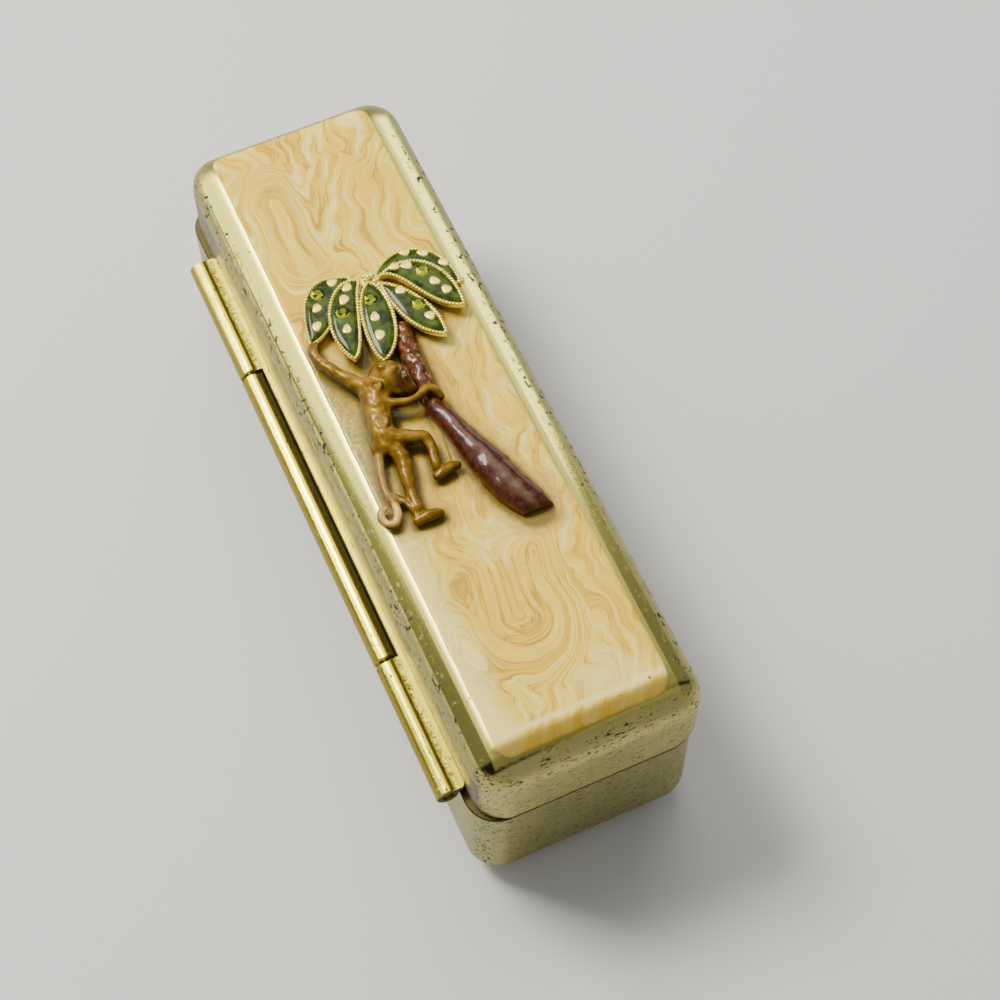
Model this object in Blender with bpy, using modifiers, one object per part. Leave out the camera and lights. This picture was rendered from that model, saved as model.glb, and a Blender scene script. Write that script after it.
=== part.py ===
"""Hinged lipstick case: a brass box with an enamelled lid that carries a cast palm and monkey.

X runs along the length, +Y is the hinge side and +Z is up. The origin is on the flat underside.
Lengths are in millimetres until a mesh is made, when MM turns them into metres.
"""
import math
from collections import namedtuple

import bmesh
import bpy
from mathutils import Matrix, Vector

MM = 0.001

# Case
HALF_LENGTH = 41.5
HALF_WIDTH = 12.78
LID_TOP_Z = 27.12
SEAM_Z = 16.56
SEAM_GAP = 0.1
FRONT_OVERHANG = 0.5
CORNER_RADIUS = 3.5
CORNER_TIGHTENING = 0.75
LEAST_CORNER = 0.6
CORNER_STEPS = 5
WALL = 0.9
EDGE_BREAK = 0.12
FIXED_GAP = 0.05
CUT_MARGIN = 1.0
BASE_FILLET = 4.0
BASE_FRONT = FRONT_OVERHANG - HALF_WIDTH
BASE_MID_Y = 0.5 * FRONT_OVERHANG
LID_BACK = 12.1

# Lid dome, as insets from the wall and drops below the top
DOME_START_DROP = 4.0
FACET_OUTER = (1.45, 1.2)
FACET_INNER = (2.75, 0.42)
CROWN_INSET = 3.9
DOME_STEPS = 6
CROWN_STEPS = 4
CAVITY_STEPS = 5
FILLET_STEPS = 6
FRONT_CHAMFER_HEIGHT = 0.6
LID_CEILING_Z = 25.3
LID_CEILING_INSET = 3.3
LID_CAVITY_SHOULDER_Z = 22.5
CAVITY_STEP = (-0.05, 0.3)

# Lid enamel
ENAMEL_X = (-39.25, 40.0)
ENAMEL_HALF_WIDTH = 9.25
ENAMEL_CORNER = 1.6
ENAMEL_FLOOR_Z = 25.6
ENAMEL_PROUD = 0.12

# Hinge
HINGE_Y = 14.1
HINGE_Z = 17.06
KNUCKLE_RADIUS = 1.25
BORE_RADIUS = 0.68
PIN_RADIUS = 0.6
KNUCKLE_CHAMFER = 0.15
KNUCKLE_GAP = 0.3
BARREL_X = (-37.0, 33.2)
KNUCKLE_JOINTS = (-20.95, 17.05)
PIN_RECESS = 0.25
PIN_DOME = 0.15
LEAF_THICKNESS = 0.55
LEAF_CORNER = 0.6
LID_LEAF_TOP_Z = 18.1
LID_LEAF_MIDDLE_Y = 12.7
BASE_LEAF_TOP_Z = 16.45
FLANGE_BOTTOM_Z = 13.4
FLANGE_CORNER = 1.0

# Inner rim of the base, and the flocked tray
BEZEL_CLEARANCE = 0.12
BEZEL_THICKNESS = 0.45
BEZEL_BOTTOM_Z = 8.0
BEZEL_RISE = 1.15
BEZEL_LID_CLEARANCE = 0.2
BEZEL_BACK = LID_BACK - WALL - BEZEL_LID_CLEARANCE
TRAY_HALF_LENGTH = 39.8
TRAY_FLANGE_Z = (15.3, 15.9)
TROUGH_RADIUS = 9.4
TROUGH_WALL = 0.45
TROUGH_HALF_LENGTH = 37.6
TROUGH_CENTRE_Z = 11.0
TROUGH_STEPS = 14
TROUGH_JOIN = 0.1
TRAY_CLEARANCE = 0.1
TRAY_CORNER = 2.2
NOTCH_CLEARANCE = 0.02
NOTCH_SIDE_ROOM = 0.5

# Spring catch, drawn in the YZ plane and as wide as its strip
CATCH_HALF_WIDTH = 2.6
CATCH_BLADE_Y = (-10.73, -10.48)
CATCH_PIVOT_Z = 10.0
CATCH_BOTTOM_Z = 9.2
CATCH_NOSE_Y = -11.5
CATCH_NOSE_Z = (18.5, 19.05, 19.2, 19.75)
CATCH_FOLD = (-11.15, 19.15)
CATCH_FOLD_RISE = 0.1
KEEPER_HALF_WIDTH = 3.0
KEEPER_Y = (-11.83, -11.2)
KEEPER_Z = (17.95, 18.3, 18.4, 18.95)
RIVET_X = 1.5
RIVET_SHANK = 0.35
RIVET_HEAD = 0.65
RIVET_HEAD_THICKNESS = 0.28
RIVET_HEAD_GAP = 0.08
RIVET_HOLE_Y = (-13.0, -9.0)
BEZEL_RIVET_HOLE = 0.39
SPRING_RIVET_HOLE = 0.41
RIVET_HEAD_EDGE = 0.1
DOME_SHARE = 0.6

# Mirror in the lid
MIRROR_HALF = (36.9, 8.3)
MIRROR_CORNER = 1.0
MIRROR_Z = (23.8, 24.8)
PAD_Z = (24.85, 25.25)
MIRROR_FRAME_HALF = (37.8, 9.1)
MIRROR_FRAME_CORNER = 1.8
MIRROR_FRAME_Z = (23.15, 25.2)
MIRROR_WINDOW_HALF = (36.0, 7.4)
MIRROR_WINDOW_CORNER = 0.8

# Ornament
ORNAMENT_Z = LID_TOP_Z + ENAMEL_PROUD + 0.06
FROND_TOP_Z = {"lower": 28.7, "upper": 29.2}
FROND_STAGGER = 0.006
FROND_RIM = 0.4
FROND_RECESS = 0.42
FROND_ENAMEL_PROUD = 0.1
FROND_STEPS = 14
FROND_LEAST_HALF = 0.12
HUB = (16.0, -0.4)
HUB_RADIUS = 1.3
HUB_TOP_Z = 28.75
STONE_RADIUS = 0.85
STONE_TABLE_RADIUS = 0.5
STONE_PROUD = 0.45
STONE_GAP = 0.05
STONE_SEAT_DEPTH = 0.08
STONE_SIDES = 12
SEAT_SIDES = 16
HUB_TAPER = 0.7

# A frond runs from its root to its tip between an outer and an inner side, each with two handles.
Frond = namedtuple("Frond", "layer root tip outer inner stone")
FRONDS = (
    Frond("lower", (17.3, 1.3), (11.4, 8.5), ((20.8, 6.8), (15.1, 8.0)), ((15.7, 3.1), (11.0, 5.7)),
          (16.8, 5.4)),
    Frond("upper", (16.3, 0.6), (7.5, 4.9), ((19.0, 3.4), (12.3, 8.0)), ((14.8, 2.2), (7.7, 3.1)),
          (13.25, 3.9)),
    Frond("upper", (15.8, -0.1), (6.1, 2.2), ((15.2, 2.7), (6.6, 3.6)), ((14.6, -2.2), (7.0, -1.4)),
          (13.6, 0.6)),
    Frond("upper", (15.4, -1.0), (6.4, -5.2), ((11.3, -1.0), (7.6, -2.0)), ((14.2, -3.6), (9.6, -6.4)),
          (11.0, -3.8)),
    Frond("upper", (15.7, -1.0), (9.0, -8.4), ((18.9, -5.7), (14.4, -9.7)), ((17.0, -3.9), (9.8, -4.3)),
          (14.7, -5.85)),
    Frond("lower", (16.4, -0.9), (11.8, -9.2), ((20.9, -4.7), (17.4, -10.3)), ((15.6, -4.0), (14.0, -6.4)),
          None),
)

# Which frond lies over each lower one, and which two stand beside the trunk's top
COVERED_BY = {0: 1, 5: 4}
BESIDE_TRUNK = (2, 3)

# The trunk and the monkey are relief castings: flat underneath, with upright sides and a rounded top.
# Each station is x, y, half width, and the heights of the underside and the top above the lid.
RELIEF_STEPS = 6
RELIEF_SPAN_STEPS = 2
RELIEF_LEAST_SIDE = 0.1
TRUNK = (
    (10.0, -1.35, 0.45, 0.0, 1.3), (7.9, -0.8, 0.85, 0.0, 1.5), (5.85, -0.65, 1.05, 0.0, 1.7),
    (3.55, -0.6, 1.0, 0.0, 1.6), (1.8, -0.55, 0.95, 0.0, 1.35), (0.45, -0.5, 0.95, 0.0, 1.25),
    (-0.75, -0.55, 1.15, 0.0, 1.35), (-3.55, -1.35, 1.35, 0.0, 1.9), (-6.65, -2.0, 1.55, 0.0, 2.0),
    (-9.75, -2.7, 2.05, 0.0, 2.0), (-11.85, -3.35, 2.35, 0.0, 1.9), (-13.95, -4.15, 2.2, 0.0, 1.7),
    (-15.95, -5.05, 1.7, 0.0, 1.3),
)
TORSO = ((4.2, 5.5, 1.15, 0.0, 2.2), (1.2, 5.9, 1.2, 0.0, 2.2), (-1.3, 6.15, 1.05, 0.0, 2.1),
         (-3.5, 6.1, 1.0, 0.0, 1.9))
LIMBS = {
    "neck": ((2.6, 5.3, 0.95, 0.3, 2.3), (3.0, 4.2, 0.95, 0.3, 2.3), (3.5, 3.0, 0.95, 0.3, 2.3)),
    "left_arm": ((3.9, 5.7, 0.8, 0.0, 2.1), (6.0, 7.25, 0.62, 0.0, 2.1), (8.6, 8.7, 0.55, 0.0, 2.0),
                 (10.2, 8.8, 0.55, 0.0, 2.0), (10.8, 8.4, 0.5, 0.0, 1.9)),
    "right_arm": ((2.0, 5.1, 0.7, 1.5, 2.5), (0.6, 2.8, 0.5, 1.5, 2.5), (0.4, 1.05, 0.48, 1.5, 2.5),
                  (0.75, -0.4, 0.48, 1.5, 2.5), (0.1, -1.6, 0.45, 1.5, 2.4)),
    "right_leg": ((-2.4, 6.0, 0.9, 0.0, 2.2), (-3.3, 3.8, 0.75, 0.0, 2.2), (-3.9, 2.4, 0.68, 0.0, 2.1),
                  (-5.2, 1.85, 0.6, 0.0, 1.9), (-7.9, 2.2, 0.55, 0.0, 1.7)),
    "right_foot": ((-8.1, 2.6, 0.5, 0.0, 1.5), (-8.05, 1.3, 0.55, 0.0, 1.6), (-8.2, 0.15, 0.5, 0.0, 1.4)),
    "left_leg": ((-3.1, 5.55, 0.9, 0.0, 2.0), (-5.3, 4.95, 0.85, 0.0, 2.0), (-8.4, 5.75, 0.75, 0.0, 1.9),
                 (-12.2, 5.75, 0.65, 0.0, 1.7)),
    "left_foot": ((-12.4, 6.3, 0.55, 0.0, 1.5), (-12.4, 5.2, 0.6, 0.0, 1.5), (-12.7, 4.2, 0.5, 0.0, 1.3)),
    "tail": ((-3.2, 6.5, 0.6, 0.0, 1.8), (-5.0, 7.45, 0.5, 0.0, 1.7), (-7.9, 8.1, 0.5, 0.0, 1.6),
             (-10.3, 7.7, 0.45, 0.0, 1.6), (-11.5, 8.1, 0.42, 0.0, 1.6), (-11.6, 9.1, 0.42, 0.0, 1.6),
             (-10.6, 9.5, 0.38, 0.0, 1.5)),
    "ankle_bar": ((-8.9, 7.75, 0.4, 0.0, 1.2), (-10.2, 6.85, 0.4, 0.0, 1.2), (-12.2, 6.25, 0.4, 0.0, 1.2)),
}
HEAD_CENTRE = (3.65, 2.6)
HEAD_RADII = (2.15, 1.8, 1.3)
HEAD_FOOT = 0.04

# Finish of each material: colour, roughness, metallic
FINISHES = {
    "worn_gold": ((0.62, 0.56, 0.33), 0.42, 1.0),
    "bright_gold": ((0.83, 0.73, 0.33), 0.18, 1.0),
    "spring_steel": ((0.55, 0.54, 0.52), 0.3, 1.0),
    "lid_enamel": ((0.86, 0.73, 0.52), 0.12, 0.0),
    "green_enamel": ((0.05, 0.12, 0.05), 0.1, 0.0),
    "brown_enamel": ((0.2, 0.06, 0.03), 0.12, 0.0),
    "amber_enamel": ((0.55, 0.36, 0.13), 0.15, 0.3),
    "crystal": ((0.72, 0.76, 0.25), 0.03, 0.0),
    "mirror": ((0.9, 0.9, 0.9), 0.02, 1.0),
    "pad": ((0.45, 0.42, 0.36), 0.9, 0.0),
    "flock": ((0.28, 0.05, 0.07), 0.95, 0.0),
}

PARTS = "lipstick_case"
CUTTERS = "cutters"


def clear_scene():
    for item in list(bpy.data.objects):
        bpy.data.objects.remove(item, do_unlink=True)


def collection(name):
    group = bpy.data.collections.get(name)
    if group is None:
        group = bpy.data.collections.new(name)
        bpy.context.scene.collection.children.link(group)
    return group


def material(name):
    finish = bpy.data.materials.get(name)
    if finish is None:
        colour, roughness, metallic = FINISHES[name]
        finish = bpy.data.materials.new(name)
        finish.use_nodes = True
        shader = finish.node_tree.nodes["Principled BSDF"]
        shader.inputs["Base Color"].default_value = (*colour, 1.0)
        shader.inputs["Roughness"].default_value = roughness
        shader.inputs["Metallic"].default_value = metallic
    return finish


def part(name, mesh, finish):
    """A visible piece of the case."""
    mesh.name = name
    mesh.materials.clear()
    mesh.materials.append(material(finish))
    mesh.shade_smooth()
    mesh.set_sharp_from_angle(angle=math.radians(35))
    item = bpy.data.objects.new(name, mesh)
    collection(PARTS).objects.link(item)
    return item


def tool(name, mesh):
    """A shape that cuts or joins another and isn't part of the case."""
    item = bpy.data.objects.new(name, mesh)
    item.hide_render = True
    item.display_type = 'WIRE'
    collection(CUTTERS).objects.link(item)
    return item


def combine(item, other, operation):
    step = item.modifiers.new(other.name, 'BOOLEAN')
    step.operation = operation
    step.solver = 'EXACT'
    step.object = other


def mesh_from(bm, name):
    bmesh.ops.recalc_face_normals(bm, faces=bm.faces)
    mesh = bpy.data.meshes.new(name)
    bm.to_mesh(mesh)
    bm.free()
    return mesh


def mesh_from_curve(curve, name):
    """The welded mesh of a curve, which can then be cut or joined."""
    holder = bpy.data.objects.new(name, curve)
    bpy.context.scene.collection.objects.link(holder)
    evaluated = holder.evaluated_get(bpy.context.evaluated_depsgraph_get())
    mesh = bpy.data.meshes.new_from_object(evaluated)
    bpy.data.objects.remove(holder, do_unlink=True)
    bm = bmesh.new()
    bm.from_mesh(mesh)
    bmesh.ops.remove_doubles(bm, verts=bm.verts, dist=0.001 * MM)
    return mesh_from(bm, name)


def arc(centre, radius, start, end, steps):
    """Points on an arc, with its angles in degrees."""
    points = []
    for step in range(steps + 1):
        angle = math.radians(start + (end - start) * step / steps)
        points.append((centre[0] + radius * math.cos(angle), centre[1] + radius * math.sin(angle)))
    return points


def rounded_rectangle(low, high, radius):
    points = []
    corners = ((high[0], high[1], 0), (low[0], high[1], 90), (low[0], low[1], 180), (high[0], low[1], 270))
    for x, y, start in corners:
        inward_x = radius if x == low[0] else -radius
        inward_y = radius if y == low[1] else -radius
        points += arc((x + inward_x, y + inward_y), radius, start, start + 90, CORNER_STEPS)
    return points


def centred_rectangle(half, radius):
    return rounded_rectangle((-half[0], -half[1]), half, radius)


def plan_ring(inset, z, front, back):
    """An outline at one height, inset from the case's ends. Its corners tighten as it shrinks."""
    radius = max(CORNER_RADIUS - CORNER_TIGHTENING * inset, LEAST_CORNER)
    low = (inset - HALF_LENGTH, front)
    high = (HALF_LENGTH - inset, back)
    return [(x, y, z) for x, y in rounded_rectangle(low, high, radius)]


def base_ring(inset, z):
    return plan_ring(inset, z, BASE_FRONT + inset, HALF_WIDTH - inset)


def lid_ring(inset, z, front=-HALF_WIDTH):
    """The lid's wall stands back on the hinge side, and its dome leans out again to the facet."""
    setback = (HALF_WIDTH - LID_BACK) * max(0.0, 1.0 - inset / FACET_OUTER[0])
    return plan_ring(inset, z, front + inset, HALF_WIDTH - inset - setback)


def cavity_ring(inset, z, front=-HALF_WIDTH):
    return plan_ring(inset, z, front + inset, min(HALF_WIDTH - inset, LID_BACK - WALL))


def loft(rings, name):
    """A closed solid through rings that have the same number of points, listed bottom to top."""
    bm = bmesh.new()
    loops = [[bm.verts.new(Vector(point) * MM) for point in ring] for ring in rings]
    for lower, upper in zip(loops, loops[1:]):
        for index in range(len(lower)):
            following = (index + 1) % len(lower)
            bm.faces.new((lower[index], lower[following], upper[following], upper[index]))
    bm.faces.new(list(reversed(loops[0])))
    bm.faces.new(loops[-1])
    return mesh_from(bm, name)


def plate(outline, low, high, name):
    """A flat outline made solid between two heights."""
    curve = bpy.data.curves.new(name, 'CURVE')
    curve.dimensions = '2D'
    curve.fill_mode = 'BOTH'
    curve.extrude = 0.5 * (high - low) * MM
    spline = curve.splines.new('POLY')
    spline.points.add(len(outline) - 1)
    for point, (x, y) in zip(spline.points, outline):
        point.co = (x * MM, y * MM, 0.0, 1.0)
    spline.use_cyclic_u = True
    mesh = mesh_from_curve(curve, name)
    mesh.transform(Matrix.Translation((0.0, 0.0, 0.5 * (low + high) * MM)))
    return mesh


def upright_plate(outline, low, high, name):
    """A plate whose outline is in the XZ plane and whose thickness runs along Y."""
    mesh = plate(outline, low, high, name)
    mesh.transform(Matrix(((1, 0, 0, 0), (0, 0, 1, 0), (0, 1, 0, 0), (0, 0, 0, 1))))
    mesh.flip_normals()
    return mesh


def lengthwise_plate(outline, low, high, name):
    """A plate whose outline is in the YZ plane and whose thickness runs along X."""
    mesh = plate(outline, low, high, name)
    mesh.transform(Matrix(((0, 0, 1, 0), (1, 0, 0, 0), (0, 1, 0, 0), (0, 0, 0, 1))))
    return mesh


def box(low, high, name):
    bm = bmesh.new()
    bmesh.ops.create_cube(bm, size=1.0)
    size = [(b - a) * MM for a, b in zip(low, high)]
    centre = Vector([0.5 * (a + b) * MM for a, b in zip(low, high)])
    bmesh.ops.scale(bm, vec=size, verts=bm.verts)
    bmesh.ops.translate(bm, vec=centre, verts=bm.verts)
    return mesh_from(bm, name)


def cone(centre, radius_low, radius_high, low, high, sides, name):
    """An upright cylinder or cone on a point of the plan."""
    bm = bmesh.new()
    place = Matrix.Translation(Vector((centre[0], centre[1], 0.5 * (low + high))) * MM)
    bmesh.ops.create_cone(bm, cap_ends=True, segments=sides, radius1=radius_low * MM,
                          radius2=radius_high * MM, depth=(high - low) * MM, matrix=place)
    return mesh_from(bm, name)


def turned(profile, name, finish=None, steps=24):
    """A profile of (radius, height), outer side downwards, turned about its local Z axis.

    A profile that ends on the axis makes a solid, and any other is closed into a ring.
    """
    bm = bmesh.new()
    verts = [bm.verts.new((radius * MM, 0.0, height * MM)) for radius, height in profile]
    closing = [] if profile[0][0] == 0.0 else verts[:1]
    for first, second in zip(verts, verts[1:] + closing):
        bm.edges.new((first, second))
    mesh = bpy.data.meshes.new(name)
    bm.to_mesh(mesh)
    bm.free()
    item = part(name, mesh, finish) if finish else tool(name, mesh)
    screw = item.modifiers.new("turn", 'SCREW')
    screw.axis = 'Z'
    screw.steps = steps
    screw.render_steps = steps
    screw.use_merge_vertices = True
    screw.merge_threshold = 0.0001 * MM
    return item


def smooth_path(stations):
    """A curve through the stations, with points between each pair (Catmull-Rom)."""
    points = [Vector(station) for station in stations]
    path = []
    for index in range(len(points) - 1):
        before = points[max(index - 1, 0)]
        start, end = points[index], points[index + 1]
        after = points[min(index + 2, len(points) - 1)]
        for step in range(RELIEF_SPAN_STEPS):
            t = step / RELIEF_SPAN_STEPS
            path.append(0.5 * (2 * start + (end - before) * t
                               + (2 * before - 5 * start + 4 * end - after) * t ** 2
                               + (3 * start - before - 3 * end + after) * t ** 3))
    return path + [points[-1]]


def relief(stations, name):
    """A bar on the lid with a flat underside, upright sides and a rounded top, square to its path."""
    path = smooth_path(stations)
    rings = []
    for index, (x, y, half_width, base, top) in enumerate(path):
        behind, ahead = path[max(index - 1, 0)], path[min(index + 1, len(path) - 1)]
        along = Vector((ahead[0] - behind[0], ahead[1] - behind[1])).normalized()
        across = Vector((-along.y, along.x)) * half_width
        crown = min(half_width, top - base - RELIEF_LEAST_SIDE)
        section = [(1.0, base)]
        for step in range(RELIEF_STEPS + 1):
            angle = math.pi * step / RELIEF_STEPS
            section.append((math.cos(angle), top - crown * (1 - math.sin(angle))))
        section.append((-1.0, base))
        rings.append([(x + across.x * side, y + across.y * side, ORNAMENT_Z + z) for side, z in section])
    return loft(rings, name)


def pivot(name, y, z, children):
    """An empty on a joint's axis, which the moving pieces are parented to."""
    empty = bpy.data.objects.new(name, None)
    empty.location = Vector((0.0, y, z)) * MM
    collection(PARTS).objects.link(empty)
    for child in children:
        child.parent = empty
        child.location = child.location - empty.location


def base_rings(inset, fillet, floor_z, top):
    """Rings of the base from its floor up to the list of (inset, z) at its top."""
    rings = []
    for step in range(FILLET_STEPS + 1):
        angle = math.radians(90 * step / FILLET_STEPS)
        rings.append(base_ring(inset + fillet * (1 - math.sin(angle)),
                               floor_z + fillet * (1 - math.cos(angle))))
    return rings + [base_ring(extra, z) for extra, z in top]


def make_base_shell():
    top_z = SEAM_Z - 0.5 * SEAM_GAP
    top = [(0.0, top_z - EDGE_BREAK), (EDGE_BREAK, top_z)]
    shell = part("base_shell", loft(base_rings(0.0, BASE_FILLET, 0.0, top), "base_shell"), "worn_gold")
    hollow = loft(base_rings(WALL, BASE_FILLET - WALL, WALL, [(WALL, top_z + CUT_MARGIN)]), "base_hollow")
    combine(shell, tool("base_hollow", hollow), 'DIFFERENCE')


def bezel_ring(inset, z):
    outer = WALL + BEZEL_CLEARANCE
    return plan_ring(outer + inset, z, BASE_FRONT + outer + inset, BEZEL_BACK - inset)


def make_base_bezel():
    """The inner rim. It stands up into the lid, and clears the lid's wall on the hinge side too."""
    top_z = SEAM_Z + BEZEL_RISE
    rings = [bezel_ring(0.0, BEZEL_BOTTOM_Z), bezel_ring(0.0, top_z - EDGE_BREAK),
             bezel_ring(EDGE_BREAK, top_z)]
    bezel = part("base_bezel", loft(rings, "base_bezel"), "bright_gold")
    hollow = [bezel_ring(BEZEL_THICKNESS, z) for z in (BEZEL_BOTTOM_Z - CUT_MARGIN, top_z + CUT_MARGIN)]
    combine(bezel, tool("base_bezel_hollow", loft(hollow, "base_bezel_hollow")), 'DIFFERENCE')
    for side in (-1, 1):
        hole = rivet_cylinder(f"bezel_rivet_hole_{side + 2}", side, BEZEL_RIVET_HOLE, *RIVET_HOLE_Y)
        combine(bezel, hole, 'DIFFERENCE')


def rivet_cylinder(name, side, radius, low, high):
    profile = [(0.0, high), (radius, high), (radius, low), (0.0, low)]
    item = turned(profile, name, steps=16)
    item.rotation_euler = (math.radians(-90), 0.0, 0.0)
    item.location = Vector((side * RIVET_X, 0.0, CATCH_PIVOT_Z)) * MM
    return item


def make_rivets():
    """Two rivets hold the catch's foot to the inner rim. Their tails are filed flush with the rim."""
    head_low = CATCH_BLADE_Y[1] + RIVET_HEAD_GAP
    head_high = head_low + RIVET_HEAD_THICKNESS
    tail = BASE_FRONT + WALL + BEZEL_CLEARANCE
    for number, side in enumerate((-1, 1), start=1):
        profile = [(0.0, head_high), (DOME_SHARE * RIVET_HEAD, head_high),
                   (RIVET_HEAD, head_low + RIVET_HEAD_EDGE),
                   (RIVET_HEAD, head_low), (RIVET_SHANK, head_low), (RIVET_SHANK, tail), (0.0, tail)]
        rivet = turned(profile, f"catch_rivet_{number}", "bright_gold", steps=16)
        rivet.rotation_euler = (math.radians(-90), 0.0, 0.0)
        rivet.location = Vector((side * RIVET_X, 0.0, CATCH_PIVOT_Z)) * MM


def trough_outline(radius, top_z):
    """A U in the YZ plane."""
    lower = arc((BASE_MID_Y, TROUGH_CENTRE_Z), radius, 180, 360, TROUGH_STEPS)
    return [(BASE_MID_Y - radius, top_z)] + lower + [(BASE_MID_Y + radius, top_z)]


def make_tray():
    low_z, high_z = TRAY_FLANGE_Z
    gap = BEZEL_THICKNESS + TRAY_CLEARANCE
    low = (-TRAY_HALF_LENGTH, BASE_FRONT + WALL + BEZEL_CLEARANCE + gap)
    high = (TRAY_HALF_LENGTH, BEZEL_BACK - gap)
    flange = plate(rounded_rectangle(low, high, TRAY_CORNER), low_z, high_z, "tray_liner")
    tray = part("tray_liner", flange, "flock")
    reach = TROUGH_HALF_LENGTH + TROUGH_WALL
    outside = lengthwise_plate(trough_outline(TROUGH_RADIUS + TROUGH_WALL, high_z - TROUGH_JOIN), -reach,
                               reach, "trough_outside")
    combine(tray, tool("trough_outside", outside), 'UNION')
    inside = lengthwise_plate(trough_outline(TROUGH_RADIUS, high_z + CUT_MARGIN), -TROUGH_HALF_LENGTH,
                              TROUGH_HALF_LENGTH, "trough_inside")
    combine(tray, tool("trough_inside", inside), 'DIFFERENCE')
    notch_y = BASE_MID_Y - TROUGH_RADIUS - TROUGH_WALL - NOTCH_CLEARANCE
    notch_x = CATCH_HALF_WIDTH + NOTCH_SIDE_ROOM
    notch = box((-notch_x, BASE_FRONT, low_z - CUT_MARGIN), (notch_x, notch_y, high_z + CUT_MARGIN),
                "catch_notch")
    combine(tray, tool("catch_notch", notch), 'DIFFERENCE')


def knuckle(name, start, end):
    """A hinge knuckle between two places along X."""
    chamfered = KNUCKLE_RADIUS - KNUCKLE_CHAMFER
    profile = [(BORE_RADIUS, end), (chamfered, end), (KNUCKLE_RADIUS, end - KNUCKLE_CHAMFER),
               (KNUCKLE_RADIUS, start + KNUCKLE_CHAMFER), (chamfered, start), (BORE_RADIUS, start)]
    item = turned(profile, name)
    item.rotation_euler = (0.0, math.radians(90), 0.0)
    item.location = Vector((0.0, HINGE_Y, HINGE_Z)) * MM
    return item


def bore_tool(name):
    """Clears the pin's bore through the flat of a leaf."""
    low, high = BARREL_X[0] - CUT_MARGIN, BARREL_X[1] + CUT_MARGIN
    item = turned([(0.0, high), (BORE_RADIUS, high), (BORE_RADIUS, low), (0.0, low)], name)
    item.rotation_euler = (0.0, math.radians(90), 0.0)
    item.location = Vector((0.0, HINGE_Y, HINGE_Z)) * MM
    return item


def make_lid_leaf():
    """A flat web from the lid's wall to its two knuckles, cut back beside the base's middle knuckle."""
    start, end = BARREL_X
    near, far = KNUCKLE_JOINTS[0] - 0.5 * KNUCKLE_GAP, KNUCKLE_JOINTS[1] + 0.5 * KNUCKLE_GAP
    wall_y = LID_BACK + FIXED_GAP
    rounded = arc((start + LEAF_CORNER, wall_y + LEAF_CORNER), LEAF_CORNER, 180, 270, 4)
    rounded += arc((end - LEAF_CORNER, wall_y + LEAF_CORNER), LEAF_CORNER, 270, 360, 4)
    outline = rounded + [(end, HINGE_Y), (far, HINGE_Y), (far, LID_LEAF_MIDDLE_Y), (near, LID_LEAF_MIDDLE_Y),
                         (near, HINGE_Y), (start, HINGE_Y)]
    web = plate(outline, LID_LEAF_TOP_Z - LEAF_THICKNESS, LID_LEAF_TOP_Z, "lid_hinge_leaf")
    leaf = part("lid_hinge_leaf", web, "bright_gold")
    combine(leaf, knuckle("knuckle_near", start, near), 'UNION')
    combine(leaf, knuckle("knuckle_far", far, end), 'UNION')
    combine(leaf, bore_tool("lid_leaf_bore"), 'DIFFERENCE')
    return leaf


def make_base_leaf():
    """The middle knuckle on its web, with a flange that lies down the base's wall."""
    near, far = KNUCKLE_JOINTS[0] + 0.5 * KNUCKLE_GAP, KNUCKLE_JOINTS[1] - 0.5 * KNUCKLE_GAP
    wall_y = HALF_WIDTH + FIXED_GAP
    outline = [(far, BASE_LEAF_TOP_Z), (near, BASE_LEAF_TOP_Z)]
    outline += arc((near + FLANGE_CORNER, FLANGE_BOTTOM_Z + FLANGE_CORNER), FLANGE_CORNER, 180, 270, 4)
    outline += arc((far - FLANGE_CORNER, FLANGE_BOTTOM_Z + FLANGE_CORNER), FLANGE_CORNER, 270, 360, 4)
    flange = upright_plate(outline, wall_y, wall_y + LEAF_THICKNESS, "base_hinge_leaf")
    leaf = part("base_hinge_leaf", flange, "bright_gold")
    web = box((near, wall_y, BASE_LEAF_TOP_Z - LEAF_THICKNESS), (far, HINGE_Y, BASE_LEAF_TOP_Z), "base_web")
    combine(leaf, tool("base_web", web), 'UNION')
    combine(leaf, knuckle("knuckle_middle", near, far), 'UNION')
    combine(leaf, bore_tool("base_leaf_bore"), 'DIFFERENCE')


def make_pin():
    start, end = BARREL_X[0] + PIN_RECESS, BARREL_X[1] - PIN_RECESS
    face = DOME_SHARE * PIN_RADIUS
    profile = [(0.0, end), (face, end), (PIN_RADIUS, end - PIN_DOME), (PIN_RADIUS, start + PIN_DOME),
               (face, start), (0.0, start)]
    pin = turned(profile, "hinge_pin", "bright_gold", steps=20)
    pin.rotation_euler = (0.0, math.radians(90), 0.0)
    pin.location = Vector((0.0, HINGE_Y, HINGE_Z)) * MM


def dome_profile():
    """The lid's edge as (inset, drop): an arc up from the wall, a flat facet and a soft crown."""
    run = FACET_OUTER[0]
    rise = DOME_START_DROP - FACET_OUTER[1]
    sweep = 2.0 * math.atan2(run, rise)
    radius = rise / math.sin(sweep)
    points = []
    for step in range(DOME_STEPS + 1):
        angle = sweep * step / DOME_STEPS
        points.append((radius * (1 - math.cos(angle)), DOME_START_DROP - radius * math.sin(angle)))
    inset, drop = FACET_INNER
    for step in range(CROWN_STEPS + 1):
        fraction = step / CROWN_STEPS
        points.append((inset + (CROWN_INSET - inset) * fraction, drop * (1 - fraction) ** 2))
    return points


def lid_rings(raised):
    return [lid_ring(inset, LID_TOP_Z - drop + raised) for inset, drop in dome_profile()]


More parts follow.
